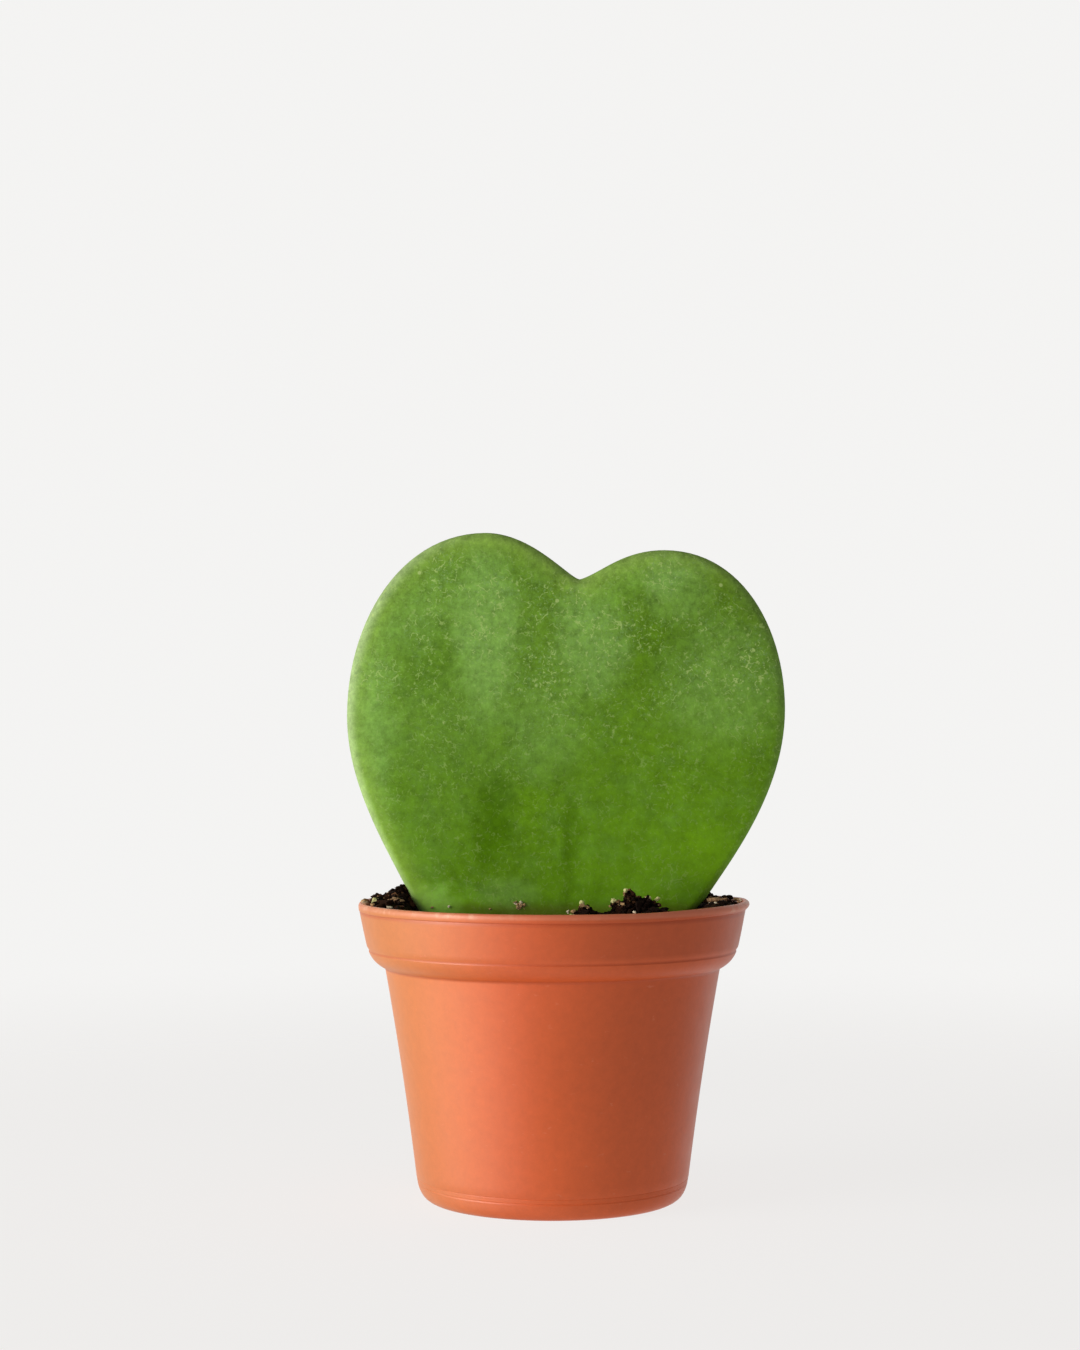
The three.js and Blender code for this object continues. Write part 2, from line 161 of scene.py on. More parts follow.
def bend(start, pull, end, steps):
    shares = [step / steps for step in range(1, steps + 1)]
    return [
        tuple((1 - t) ** 2 * a + 2 * t * (1 - t) * b + t * t * c for a, b, c in zip(start, pull, end))
        for t in shares
    ]


def points_of(piece):
    places = np.empty(3 * len(piece.data.vertices))
    piece.data.vertices.foreach_get("co", places)
    return places.reshape(-1, 3) / MM


def move_points(piece, places):
    piece.data.vertices.foreach_set("co", (places * MM).ravel())
    piece.data.update()


def smooth_step(value, low, high):
    share = np.clip((value - low) / (high - low), 0, 1)
    return share * share * (3 - 2 * share)


def lumps(places, size, depth=3):
    return np.array([noise.fractal(Vector(place) / size, 1.0, 2.0, depth) for place in places])


# %% [markdown]
# A Boolean adds one solid to another or takes it away, and the second solid is then removed. A finished piece
# rides on the body, and the imported nodes it stands for are hidden. Its faces are smoothed, but for edges sharper
# than an angle.

# %% Combine solids, hand a piece over
def combine(piece, other, operation):
    deselect_all()
    bpy.context.view_layer.objects.active = piece
    boolean = piece.modifiers.new(operation.lower(), "BOOLEAN")
    boolean.operation = operation
    boolean.object = other
    boolean.solver = "EXACT"
    bpy.ops.object.modifier_apply(modifier=boolean.name)
    bpy.data.objects.remove(other)


def hand_over(piece, slot, angle, *nodes):
    select_alone(piece)
    bpy.ops.object.shade_smooth_by_angle(angle=math.radians(angle))
    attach(piece, "root")
    if nodes:
        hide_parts(*nodes)
    triangles = sum(len(face.vertices) - 2 for face in piece.data.polygons)
    print(piece.name, "has", triangles, "triangles")


# %% [markdown]
# ## The pot
# A nursery pot is one thin shell of moulded plastic. Its profile runs from a gate pad in the middle of the
# underside, over a foot ring and up a slightly hollow body to a neck, a shoulder, a crease, a collar and a
# rolled lip, then down the inside. It could be spun from that profile, but growing it ring by ring from a
# circle leaves no doubled seam to merge. Two fine lines of the mould run round just above the foot.

# %% The outside of the wall, as radius and height
FOOT_TOP = (20.84, 2.45)
BODY_FOOT = (21.03, 3.5)
BODY_TOP = (25.78, 35.15)
SHOULDER_FOOT = (26.1, 35.65)
SHOULDER_TOP = (28.36, 38.05)
COLLAR_FOOT = (28.66, 38.9)
COLLAR_TOP = (29.77, 44.15)
mould_lines = [FOOT_TOP, (20.8, 2.55), (20.8, 2.68), (20.9, 2.78), (20.98, 3.3), (20.95, 3.38), BODY_FOOT]
body = bend(BODY_FOOT, (22.98, 19.4), BODY_TOP, 22)
neck = bend(BODY_TOP, (25.84, 35.5), SHOULDER_FOOT, 4)
shoulder = bend(SHOULDER_FOOT, (27.75, 36.5), SHOULDER_TOP, 10)
crease = [(28.32, 38.2), (28.35, 38.35), (28.48, 38.6), COLLAR_FOOT]
collar = bend(COLLAR_FOOT, (29.2, 41.2), COLLAR_TOP, 10)
wall = mould_lines + body + neck + shoulder + crease + collar
print("the wall has", len(wall), "rings")

# %% [markdown]
# The inside follows the outside, moved in by the wall's thickness, square to the wall. The lip's top stands a
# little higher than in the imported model, where the lip is plainer.

# %% The whole profile
WALL_THICKNESS = 0.8
WALL_FOOT = 3.0
INSIDE_TOP = 44.2
FLOOR_TOP = 1.6
PAD_RADIUS = 6.4
FOOT_RING = (19.2, 0)
LIP_UNDER = (29.82, 44.3)
LIP_SIDE = (29.95, 45.1)
LIP_TOP = 45.6


def moved_in(curve, distance, lowest, highest):
    curve = np.array(curve)
    along = np.gradient(curve, axis=0)
    along /= np.linalg.norm(along, axis=1)[:, None]
    moved = curve + distance * np.column_stack([-along[:, 1], along[:, 0]])
    return [tuple(point) for point in moved if lowest < point[1] < highest]


underside = [(PAD_RADIUS, 0), (6.6, 0.06), (7.1, 0.64), (7.3, 0.7)]
underside += [(15.8, 0.7), (16.0, 0.64), (16.5, 0.06), (16.7, 0)]
foot = [FOOT_RING] + bend(FOOT_RING, (20.4, 0.5), FOOT_TOP, 7)[:-1]
lip = [(29.74, 44.25), LIP_UNDER] + bend(LIP_UNDER, (29.97, 44.55), LIP_SIDE, 5)
lip += bend(LIP_SIDE, (29.85, LIP_TOP), (29.55, LIP_TOP), 4)
lip += bend((29.3, LIP_TOP), (28.95, 45.5), (28.87, 45.0), 4)
inside = moved_in(wall, WALL_THICKNESS, WALL_FOOT, INSIDE_TOP)[::-1]
inner_floor = bend(inside[-1], (20.0, FLOOR_TOP), (18.2, FLOOR_TOP), 4) + [(12.0, FLOOR_TOP)]
pot_profile = underside + foot + wall + lip + inside + inner_floor
print("the pot's profile has", len(pot_profile), "points, widest", max(r for r, h in pot_profile))

# %% [markdown]
# The first circle is the pad's edge, filled with one face. The last ring is closed with a face as well.

# %% Grow the pot from a circle
deselect_all()
bpy.ops.mesh.primitive_circle_add(vertices=192, radius=PAD_RADIUS * MM, fill_type="NGON", location=(0, 0, 0))
pot = bpy.context.object
pot.name = "nursery_pot"
open_alone(pot)
grow_rings(pot_profile)
bpy.ops.mesh.edge_face_add()
close_facing_out()
print("the pot grew to", len(pot.data.polygons), "faces")

# %% [markdown]
# A thin lip is never quite true. At its right end this one is raised by a third of a millimetre, which
# stretches the collar under it along, and it flares outwards a little.

# %% Raise and flare the lip's right end
LIFT = 0.3
FLARE = 0.42
places = points_of(pot)
x, y, height = places.T
raised = LIFT * smooth_step(x, 12, 26) * (1 - smooth_step(y, 2, 14)) * smooth_step(height, 39, 44)
flared = FLARE * smooth_step(x, 20, 29.5) * smooth_step(height, 44.1, 45)
flared *= 1 - 0.5 * smooth_step(height, 45.2, 45.9)
move_points(pot, places + np.column_stack([flared, 0 * raised, raised]))
print("the lip's right end is raised by", raised.max().round(2), "mm")

# %% [markdown]
# Water drains through five holes in the recess of the underside. Five cylinders are placed round the axis and
# joined, and one Boolean takes them all from the floor.

# %% Drill the drain holes
HOLES = 5
HOLE_RADIUS = 2.1
HOLE_REACH = 11.6
DRILL_LENGTH = 4
FLOOR_MIDDLE = 0.8
deselect_all()
drills = []
for hole in range(HOLES):
    turn = (hole + 0.25) / HOLES * math.tau
    middle = (HOLE_REACH * MM * math.cos(turn), HOLE_REACH * MM * math.sin(turn), FLOOR_MIDDLE * MM)
    size = {"radius": HOLE_RADIUS * MM, "depth": DRILL_LENGTH * MM}
    bpy.ops.mesh.primitive_cylinder_add(vertices=40, location=middle, **size)
    drills.append(bpy.context.object)
for drill in drills:
    drill.select_set(True)
bpy.ops.object.join()
combine(pot, bpy.context.object, "DIFFERENCE")
hand_over(pot, "pot_plastic", 28, "pot")

# %% [markdown]
# ## The leaf
# The leaf is one thick, fleshy blade. Its outline is drawn as a closed Bezier curve, because a heart is all
# smooth bends between a few knots. The curve is then turned into a loop of edges.

# %% Draw the heart
HEART = [  # knot, the handle before it and the handle after it, as x and height above the rim
    ((4.3, 50.3), (7.6, 51.3), (2.7, 50.3)),
    ((-10.5, 57.6), (-3.1, 57.6), (-23.6, 57.6)),
    ((-32.1, 29.1), (-32.1, 44.1), (-32.1, 17.6)),
    ((-22.2, 1.2), (-24.9, 7.1), (-19.3, -4.9)),
    ((0.8, -11.0), (-9.5, -10.2), (10.5, -10.2)),
    ((24.3, 1.5), (19.7, -4.9), (28.3, 7.4)),
    ((36.3, 30.2), (36.3, 17.8), (36.3, 42.7)),
    ((17.5, 54.9), (29.7, 54.9), (10.9, 54.9)),
]


def upright(place):
    return Vector((place[0], 0, place[1] + RIM)) * MM


deselect_all()
bpy.ops.curve.primitive_bezier_circle_add(radius=30 * MM, location=(0, 0, 0))
leaf = bpy.context.object
leaf.name = "heart_leaf"
bpy.ops.object.mode_set(mode="EDIT")
bpy.ops.curve.select_all(action="SELECT")
bpy.ops.curve.subdivide(number_cuts=1)
bpy.ops.object.mode_set(mode="OBJECT")
leaf.data.dimensions = "3D"
leaf.data.resolution_u = 26
for knot, (place, before, after) in zip(leaf.data.splines[0].bezier_points, HEART):
    knot.handle_left_type = knot.handle_right_type = "FREE"
    knot.co, knot.handle_left, knot.handle_right = upright(place), upright(before), upright(after)
bpy.ops.object.convert(target="MESH")
leaf = bpy.context.object
outline = points_of(leaf)[:, [0, 2]]
print("the outline has", len(outline), "points")

# %% [markdown]
# The loop is extruded and resized towards the heart's middle again and again, so that rings of faces follow
# the edge and can round it. The rings lie close together near the edge and further apart inside. The filled
# heart is then extruded once, to give it thickness.

# %% Fill the heart with rings, then give it thickness
MIDDLE_X = 2.1
MIDDLE_HEIGHT = 24
HALF_WIDTH = 34
THICKNESS = 3.8
inward_steps = [0.03, 0.1, 0.2, 0.34, 0.52, 0.74, 1.0, 1.3, 1.8, 2.5, 3.3, 4.2]
shares = [1 - step / HALF_WIDTH for step in inward_steps]
shares += [0.85 - 0.03 * step for step in range(28)] + [0.015]
middle = upright((MIDDLE_X, MIDDLE_HEIGHT))
open_alone(leaf)
size = 1
for share in shares:
    bpy.ops.mesh.extrude_edges_move()
    bpy.ops.transform.resize(value=(share / size,) * 3, center_override=middle)
    size = share
bpy.ops.mesh.merge(type="CENTER")
bpy.ops.mesh.select_all(action="SELECT")
bpy.ops.mesh.extrude_region_move(TRANSFORM_OT_translate={"value": (0, THICKNESS * MM, 0)})
close_edit()
print("the blade has", len(leaf.data.polygons), "faces")

# %% [markdown]
# So far the blade is a flat biscuit. Its points are moved next, as in sculpting. How far a point lies inside
# the outline drives the thinning towards the edge and the round there, so that is measured first.

# %% Measure how far points lie inside the outline
def inside_outline(x, height):
    start, along = outline, np.roll(outline, -1, axis=0) - outline
    places = np.column_stack([x, height])
    nearest = np.full(len(places), 1e9)
    for (a, b), (u, v) in zip(start, along):
        share = np.clip(((places[:, 0] - a) * u + (places[:, 1] - b) * v) / (u * u + v * v), 0, 1)
        gap = np.hypot(places[:, 0] - a - share * u, places[:, 1] - b - share * v)
        nearest = np.minimum(nearest, gap)
    return nearest


# %% [markdown]
# The blade thins towards the edge, where the two faces come together in a round. It leans back by three
# degrees and its sides curl back a little. Soft uneven folds fan up the front from the stalk, a low rib runs
# up between them, and the midrib stands out on the back as a ridge.

# %% Shape the blade
LEAN = math.radians(3)
CURL = 1.6
BASE_X = 0.8
BASE_DEPTH = 11
MIDRIB_RUN = 1.3
MIDRIB_RISE = 35
EDGE_ROUND = 1.3
SWELL = 0.6
SWELL_REACH = 7.5
FOLD_DEPTH = 0.22
FOLD_SIZE = 6.5
RIB_HEIGHT = 0.13
RIB_WIDTH = 0.9
RIDGE_HEIGHT = 1.1
RIDGE_WIDTH = 1.8
RIDGE_LENGTH = 50
UNEVEN_DEPTH = 0.1
UNEVEN_SIZE = 9


def sag(x, height):
    return math.tan(LEAN) * (height - RIM) + CURL * ((x - MIDDLE_X) / HALF_WIDTH) ** 2


def from_midrib(x, height):
    return x - BASE_X - MIDRIB_RUN * (height - RIM + BASE_DEPTH) / MIDRIB_RISE


def half_thickness(inward):
    half = EDGE_ROUND + SWELL * (1 - (1 - np.clip(inward / SWELL_REACH, 0, 1)) ** 2)
    return half * np.sqrt(1 - (1 - np.clip(inward / EDGE_ROUND, 0, 1)) ** 2)


def shape_blade(places):
    x, y, height = places.T
    behind = y > THICKNESS / 2
    inward = inside_outline(x, height)
    up = np.clip((height - RIM + BASE_DEPTH) / MIDRIB_RISE, 0, 2)
    off_midrib = from_midrib(x, height)
    fan = np.column_stack([off_midrib / (0.55 + 0.45 * up), 0 * up, height / 5])
    folds = FOLD_DEPTH * (1 - 0.3 * up) * lumps(fan, FOLD_SIZE, 2)
    rib = RIB_HEIGHT * np.exp(-((off_midrib / RIB_WIDTH) ** 2)) * (1 - smooth_step(height, 54, 66))
    ridge = RIDGE_HEIGHT * np.clip(1 - up * MIDRIB_RISE / RIDGE_LENGTH, 0, 1)
    ridge = ridge * np.exp(-((off_midrib / RIDGE_WIDTH) ** 2))
    uneven = UNEVEN_DEPTH * lumps(places * [1, 1, 0.5], UNEVEN_SIZE) * smooth_step(inward, 0.5, 3)
    relief = smooth_step(inward, 1, 12) * np.where(behind, ridge, folds + rib)
    away = np.where(behind, 1, -1) * (half_thickness(inward) + relief)
    return np.column_stack([x, sag(x, height) + away + uneven, height])


move_points(leaf, shape_blade(points_of(leaf)))
open_alone(leaf, "VERT")
bpy.ops.mesh.remove_doubles(threshold=0.005 * MM)
close_facing_out()
print("the blade stands from", points_of(leaf).min(0).round(1), "to", points_of(leaf).max(0).round(1))

# %% [markdown]
# Below the mix the blade ends in a short stalk. It starts as a circle well inside the blade's base, is grown
# downwards along a slight bend, and a Boolean union makes it one body with the blade.

# %% Grow the stalk and join it to the blade
STALK = [  # place and radius
    ((1.0, -0.2, 41.3), 1.5),
    ((0.9, -0.5, 37), 1.6),
    ((0.8, -0.6, 33.5), 1.7),
    ((0.6, -0.6, 30), 1.6),
    ((0.3, -0.6, 26.6), 1.7),
    ((0.3, -0.6, 26.3), 1.2),
]
deselect_all()
(start, girth), *rest = STALK
top_of_stalk = Vector(start) * MM
bpy.ops.mesh.primitive_circle_add(vertices=28, radius=girth * MM, fill_type="NGON", location=top_of_stalk)
stalk = bpy.context.object
keep_place()
open_alone(stalk)
for place, next_girth in rest:
    move = (Vector(place) - Vector(start)) * MM
    bpy.ops.mesh.extrude_edges_move(TRANSFORM_OT_translate={"value": move})
    bpy.ops.transform.resize(value=(next_girth / girth,) * 3, center_override=Vector(place) * MM)
    start, girth = place, next_girth
bpy.ops.mesh.edge_face_add()
close_facing_out()
combine(leaf, stalk, "UNION")
print("the leaf reaches down to", points_of(leaf)[:, 2].min().round(1), "mm")

# %% [markdown]
# The leaf's colour changes near its edge, and its back is plainer than its front. A material can't measure
# either by itself. So each point keeps its distance inside the outline, and whether it lies in front, as
# attributes, which the material reads later.

# %% Keep the distance to the edge and the side on the leaf
def keep(piece, name, values):
    attribute = piece.data.attributes.new(name, "FLOAT", "POINT")
    attribute.data.foreach_set("value", np.asarray(values, dtype=np.float32))


places = points_of(leaf)
keep(leaf, "inward", inside_outline(places[:, 0], places[:, 2]))
keep(leaf, "front", places[:, 1] < sag(places[:, 0], places[:, 2]))
hand_over(leaf, "leaf_skin", 50, "leaf")

# %% [markdown]
# ## The potting mix
# The mix fills the pot to the brim. It is heaped on the left of the leaf and in front of its right half, and
# has sunk in front of its left half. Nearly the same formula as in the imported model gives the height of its
# top.

# %% The height of the mix
HEAPS = [  # x, y, width, height
    (-23.9, 0.3, 2.4, 1.7),
    (-27, -5, 3.5, 0.5),
    (12.1, -9, 3.2, 3.7),
    (17, -11, 2.2, 1.7),
    (4.6, -12, 2.4, 1.8),
    (26, 4, 4.5, 0.45),
    (0, 14, 12, 1),
    (-12, 18, 6, -0.9),
]
DIP_DEPTH = 2.5


def front_dip(x, y):
    across = smooth_step(x, -23.2, -20.5) - smooth_step(x, 20, 25)
    return -DIP_DEPTH * across * (smooth_step(y, -32, -11) - smooth_step(y, 3, 9))


def mix_height(x, y):
    heaped = sum(tall * np.exp(-((x - a) ** 2 + (y - b) ** 2) / wide**2) for a, b, wide, tall in HEAPS)
    rough = 0.2 * np.sin(0.9 * x + 1.3) * np.cos(1.1 * y) + 0.14 * np.sin(2.1 * x - 1.7 * y)
    return RIM + front_dip(x, y) + heaped + rough


x, y, _, _ = max(HEAPS, key=lambda heap: heap[3])
print("the highest heap stands", round(float(mix_height(x, y)) - RIM, 1), "mm above the rim")

# %% [markdown]
# The body of the mix is grown ring by ring, up beside the wall and in across the top.

# %% Grow the body of the mix
BRIM = 28.5
MIX_INSIDE_WALL = 1.1
MIX_FOOT = (18.4, 1.9)
SIDE_TOP = 43.2
TOP_RINGS = 64
TOP_LEVEL = 44.8
side = moved_in(wall, MIX_INSIDE_WALL, WALL_FOOT, SIDE_TOP)
top = [(BRIM, 43.6)] + [(BRIM * (1 - ring / TOP_RINGS), TOP_LEVEL) for ring in range(TOP_RINGS)]
radius, height = MIX_FOOT
start = (0, 0, height * MM)
deselect_all()
bpy.ops.mesh.primitive_circle_add(vertices=168, radius=radius * MM, fill_type="NGON", location=start)
mix = bpy.context.object
mix.name = "mix_body"
keep_place()
open_alone(mix)
grow_rings([MIX_FOOT] + side[::3] + top)
bpy.ops.mesh.merge(type="CENTER")
close_facing_out()
places = points_of(mix)
print("the mix has", len(places), "points")

# %% [markdown]
# Peat is crumbly at every size, so the top gets two layers of noise: broad lumps and fine grit. Both fade out
# at the wall, where the mix meets the pot a little below the rim.

# %% Heap and roughen the top
SUNK_AT_WALL = 0.6
is_top = places[:, 2] > TOP_LEVEL - 0.1
x, y, height = places[is_top].T
away = BRIM - np.hypot(x, y)
flat = np.column_stack([x, y, np.zeros_like(x)])
grit = 0.55 * lumps(flat, 1.7, 4) + 0.5 * lumps(flat + 50, 0.7, 2)
level = mix_height(x, y) + grit * smooth_step(away, 0, 1.5) * (1 + 0.2 * front_dip(x, y))
level = (level - RIM + SUNK_AT_WALL) * smooth_step(away, -0.3, 1.7)
places[is_top, 2] = RIM - SUNK_AT_WALL + level
move_points(mix, places)
hand_over(mix, "peat", 180, "potting_mix")

# %% [markdown]
# ## Crumbs
# What reads as soil is its crumbs: thousands of small, broken lumps of peat and bark. A few are modelled from
# an ico sphere, squashed, cut by planes as if they had been broken, and roughened. Their radius is 1 here, so
# that each copy can be scaled by its own radius.

# %% Break a few crumbs
def broken_lump(name, subdivisions, breaks, seed, roughness=0.5, size=0.5, shape=(1.1, 0.85, 0.7)):
    deselect_all()
    bpy.ops.mesh.primitive_ico_sphere_add(subdivisions=subdivisions, radius=1, location=(0, 0, 0))
    piece = bpy.context.object
    piece.name = name
    open_alone(piece, "VERT")
    bpy.ops.transform.resize(value=shape, center_override=(0, 0, 0))
    for _ in range(breaks):
        away = Vector([chance.gauss(0, 1) for _ in "xyz"]).normalized()
        cut = away * chance.uniform(0.35, 0.7)
        bpy.ops.mesh.select_all(action="SELECT")
        bpy.ops.mesh.bisect(plane_co=cut, plane_no=away, use_fill=True, clear_outer=True)
    close_edit()
    places = points_of(piece)
    swell = 1 + roughness * lumps(places * MM + seed, size, 2)
    move_points(piece, places * swell[:, None])
    return piece


crumbs = [broken_lump(f"crumb_{seed}", 2, 4, 7.3 * seed) for seed in range(8)]
flakes = [broken_lump(f"flake_{seed}", 1, 1, 3.1 * seed) for seed in range(8)]
clods = [broken_lump(f"clod_{seed}", 4, 4, 5.7 * seed, 0.9, 0.4) for seed in range(3)]
slivers = [broken_lump(f"sliver_{seed}", 2, 0, 9.1 * seed, 0.6, shape=(1.5, 0.3, 0.22)) for seed in range(3)]
models = crumbs + flakes + clods + slivers
print("faces on the crumbs:", [len(piece.data.polygons) for piece in models])

# %% [markdown]
# Crumbs may not cut through the pot's wall or the leaf, so a place is tested before it is used. Where the mix
# has sunk in front of the leaf, crumbs stay below the line of sight that runs over the lip. Each copy has its
# own mesh, turned and flattened. It keeps one random number as an attribute, which later picks its colour.

# %% Find places for crumbs and copy them there
LEAF_FOOT = (-21, 23.4)
DIP_ENDS = (-22.5, 3)
SIGHT_SLOPE = 0.073
LIP_RADIUS = 29.9


def is_free(x, y, radius):
    beside_leaf = abs(y - sag(x, RIM)) < THICKNESS / 2 + 0.35 * radius
    in_leaf = LEAF_FOOT[0] < x < LEAF_FOOT[1] and beside_leaf
    return not in_leaf and math.hypot(x, y) + 0.9 * radius < BRIM + 0.15


def highest(x, y):
    in_dip = DIP_ENDS[0] < x < DIP_ENDS[1] and y < -1
    return RIM - SIGHT_SLOPE * (y + LIP_RADIUS) if in_dip else 2 * RIM


def turned_copy(model, place, radius, flatness, tint, copies):
    piece = model.copy()
    piece.data = model.data.copy()
    bpy.context.collection.objects.link(piece)
    new_up = Vector([chance.gauss(0, 1) for _ in "xyz"])
    turn = np.array(Vector((0, 0, 1)).rotation_difference(new_up).to_matrix())
    places = points_of(piece) * MM @ turn.T * [1, 1, flatness] * radius
    move_points(piece, places + place)
    keep(piece, "tint", [tint] * len(places))
    copies.append(piece)


def join_as(name, copies):
    deselect_all()
    for piece in copies:
        piece.select_set(True)
    bpy.context.view_layer.objects.active = copies[0]
    bpy.ops.object.join()
    copies[0].name = name
    return copies[0]


# %% [markdown]
# Small crumbs are far more common than large ones, so the radius grows with a power of the random number.
# Only the larger ones get the finer models. Every sixth crumb is strewn about one of the front and left heaps.
# The crumbs on the right in front are darker, partly as darker peat and partly as painted shade.

# %% Strew the crumbs
CRUMBS = 3400
LEAST_RADIUS = 0.14
MOST_ADDED = 0.86
FINER_ABOVE = 0.66
CRUMBLY_HEAPS = HEAPS[:5]
copies = []
while len(copies) < CRUMBS:
    reach, turn = BRIM * math.sqrt(chance.random()), math.tau * chance.random()
    x, y = reach * math.cos(turn), reach * math.sin(turn)
    if len(copies) % 6 == 0:
        a, b, wide, _ = chance.choice(CRUMBLY_HEAPS)
        x, y = chance.gauss(a, 0.8 * wide), chance.gauss(b, 0.8 * wide)
    radius = LEAST_RADIUS + MOST_ADDED * chance.random() ** 2.6
    if is_free(x, y, radius):
        model = chance.choice(crumbs if radius > FINER_ABOVE else flakes)
        height = float(mix_height(x, y)) + chance.uniform(-0.1, 0.4) * radius
        height = min(height, highest(x, y) - 0.9 * radius)
        # partly darker peat, partly painted shade on the right in front
        darker = 0.65 if x > 3 and y < -6 else 1
        tint = chance.random() * (1 if radius < 0.45 else 0.84) * darker
        turned_copy(model, (x, y, height), radius, chance.uniform(0.6, 1), tint, copies)
print("strewn:", len(copies), "crumbs")

# %% [markdown]
# The clods that stand out of the heaps are placed one by one, each with small crumbs stuck to it: they give
# the mix the jagged outline that shows above the rim. A few strays lie on the lip and lean on the leaf, and
# pale slivers of fibre stick to the foot of the leaf. The generator is seeded afresh here, so the clods keep
# their form when the strewing changes.

# %% Place the clods and strays
CLODS = [  # x, y, radius, top above the rim, tint
    (9.4, -9.6, 0.9, 0.7, 0.2),
    (11.6, -9, 0.75, 2.3, 0.3),
    (12.2, -9.2, 1.3, 1.5, 0.1),
    (13.9, -9.2, 1.1, 1.2, 0.1),
    (15.2, -9, 0.8, 0.7, 0.2),
    (11, -10.8, 0.9, 0.9, 0.1),
    (4.8, -12, 0.9, 0.3, 0.2),
    (-23.5, 0.7, 0.85, 2.5, 0.3),
    (-22.9, 1.1, 0.6, 1.5, 0.1),
    (-25.1, -0.5, 0.8, 1.5, 0.1),
    (-26.6, -4, 0.8, 1.3, 0.2),
]
STRAYS = [  # x, y, radius, middle above the lip or, inside it, above the rim, tint
    (-28.9, -4.6, 0.55, 0.25, 0.93), (-28.4, -7.1, 0.5, 0.2, 0.96), (-27.8, -9.1, 0.45, 0.2, 0.75),
    (-28.7, -2.4, 0.5, 0.25, 0.8), (-27.0, -11.2, 0.4, 0.2, 0.93), (-24.3, -13.2, 0.42, 0.25, 0.99),
    (-23.9, -6.0, 0.5, 0.5, 0.92), (-26.4, -6.6, 0.45, 0.45, 0.97), (11.7, -27.0, 0.32, 0.2, 0.98),
    (-16.0, -1.45, 0.24, -0.4, 0.98), (-18.6, -1.2, 0.26, -0.6, 0.95), (-9.6, -1.7, 0.2, -0.8, 0.94),
    (28.9, 0.4, 0.4, 0.2, 0.96), (28.7, 3.0, 0.45, 0.1, 0.93), (28.9, -2.4, 0.35, 0.25, 0.97),
    (28.4, -5.2, 0.3, 0.25, 0.93), (26.9, -8.0, 0.4, 0.2, 0.5), (27.3, 5.8, 0.5, 0.4, 0.78),
    (3.1, -12.6, 0.5, -0.4, 0.95), (2.3, -12.4, 0.4, -0.5, 0.97), (4.4, -13.1, 0.42, 0.5, 0.94),
    (5.3, -13.0, 0.35, 0.2, 0.9), (25.7, -1.2, 0.6, 0.4, 0.93), (24.5, -2.2, 0.45, 0.2, 0.9),
]
STUCK_TO_CLOD = 22
STUCK_TO_LEAF = 22
chance.seed(7)
for x, y, radius, rise, tint in CLODS:
    middle = Vector((x, y, RIM + rise - 0.8 * radius))
    turned_copy(chance.choice(clods), middle, radius, 0.9, tint, copies)
    for _ in range(STUCK_TO_CLOD):
        away = Vector((chance.gauss(0, 1), chance.gauss(0, 1), abs(chance.gauss(0.2, 0.8)))).normalized()
        small = chance.uniform(0.15, 0.5)
        if is_free(x + away.x * radius, y + away.y * radius, small):
            spot = middle + chance.uniform(0.7, 1.1) * radius * away
            turned_copy(chance.choice(crumbs), spot, small, 0.9, 0.97 * chance.random() ** 0.9, copies)
for x, y, radius, rise, tint in STRAYS:
    ground_level = LIP_TOP if math.hypot(x, y) > BRIM else RIM
    turned_copy(chance.choice(flakes), (x, y, ground_level + rise), radius, 0.8, tint, copies)
for _ in range(STUCK_TO_LEAF):
    spot = (chance.gauss(-4.9, 0.5), -1.85, RIM - 0.3 + chance.gauss(0, 0.4))
    model = chance.choice(slivers + flakes)
    turned_copy(model, spot, chance.uniform(0.14, 0.4), 1, chance.uniform(0.9, 1), copies)
loose_mix = join_as("mix_crumbs", copies)
for model in models:
    bpy.data.objects.remove(model)
hand_over(loose_mix, "peat", 25)

# %% [markdown]
# ## Grains, chips and fibres
# Pale grit, bark chips and fibres lie on the mix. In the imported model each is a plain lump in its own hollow.
# A copy of that lump is merged, subdivided and roughened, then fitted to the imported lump's box, so that the
# finer piece lies in the same hollow.

# %% Refine what lies on the mix
def refined(node, name, cuts, depth, size):
    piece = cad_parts[node].copy()
    piece.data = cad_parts[node].data.copy()
    piece.parent = None
    for key in list(piece.keys()):
        del piece[key]
    piece.name = name
    piece.data.materials.clear()
    bpy.context.collection.objects.link(piece)
    open_alone(piece, "VERT")
    bpy.ops.mesh.remove_doubles(threshold=0.001 * MM)
    bpy.ops.mesh.subdivide(number_cuts=cuts, smoothness=0.3)
    close_facing_out()
    places = points_of(piece)
    middle = (places.min(0) + places.max(0)) / 2
    swell = 1 + depth * lumps(places, size, 3)
    places = middle + (places - middle) * swell[:, None]
    low, high = places.min(0), places.max(0)
    cad_low, cad_high = (np.array(corner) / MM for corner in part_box(node))
    fit = ((cad_high - cad_low) / (high - low)).min()
    move_points(piece, (cad_low + cad_high) / 2 + (places - (low + high) / 2) * fit)
    return piece


LOOSE = {  # packed name: new name, slot, cuts, depth and size of the lumps
    "grain": ("grit_grain", "pale_grain", 3, 0.6, 0.5),
    "bark_chip": ("bark_flake", "bark", 4, 0.6, 0.8),
    "fibre": ("pale_fibre", "fibre", 4, 0.5, 0.7),
}
loose_pieces = {kind: [] for kind in LOOSE}
for node in sorted(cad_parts):
    kind, _, number = node.rpartition("_")
    if kind in LOOSE:
        name, slot, cuts, depth, size = LOOSE[kind]
        piece = refined(node, f"{name}_{number}", cuts, depth, size)
        hand_over(piece, slot, 32, node)
        loose_pieces[kind].append(piece)

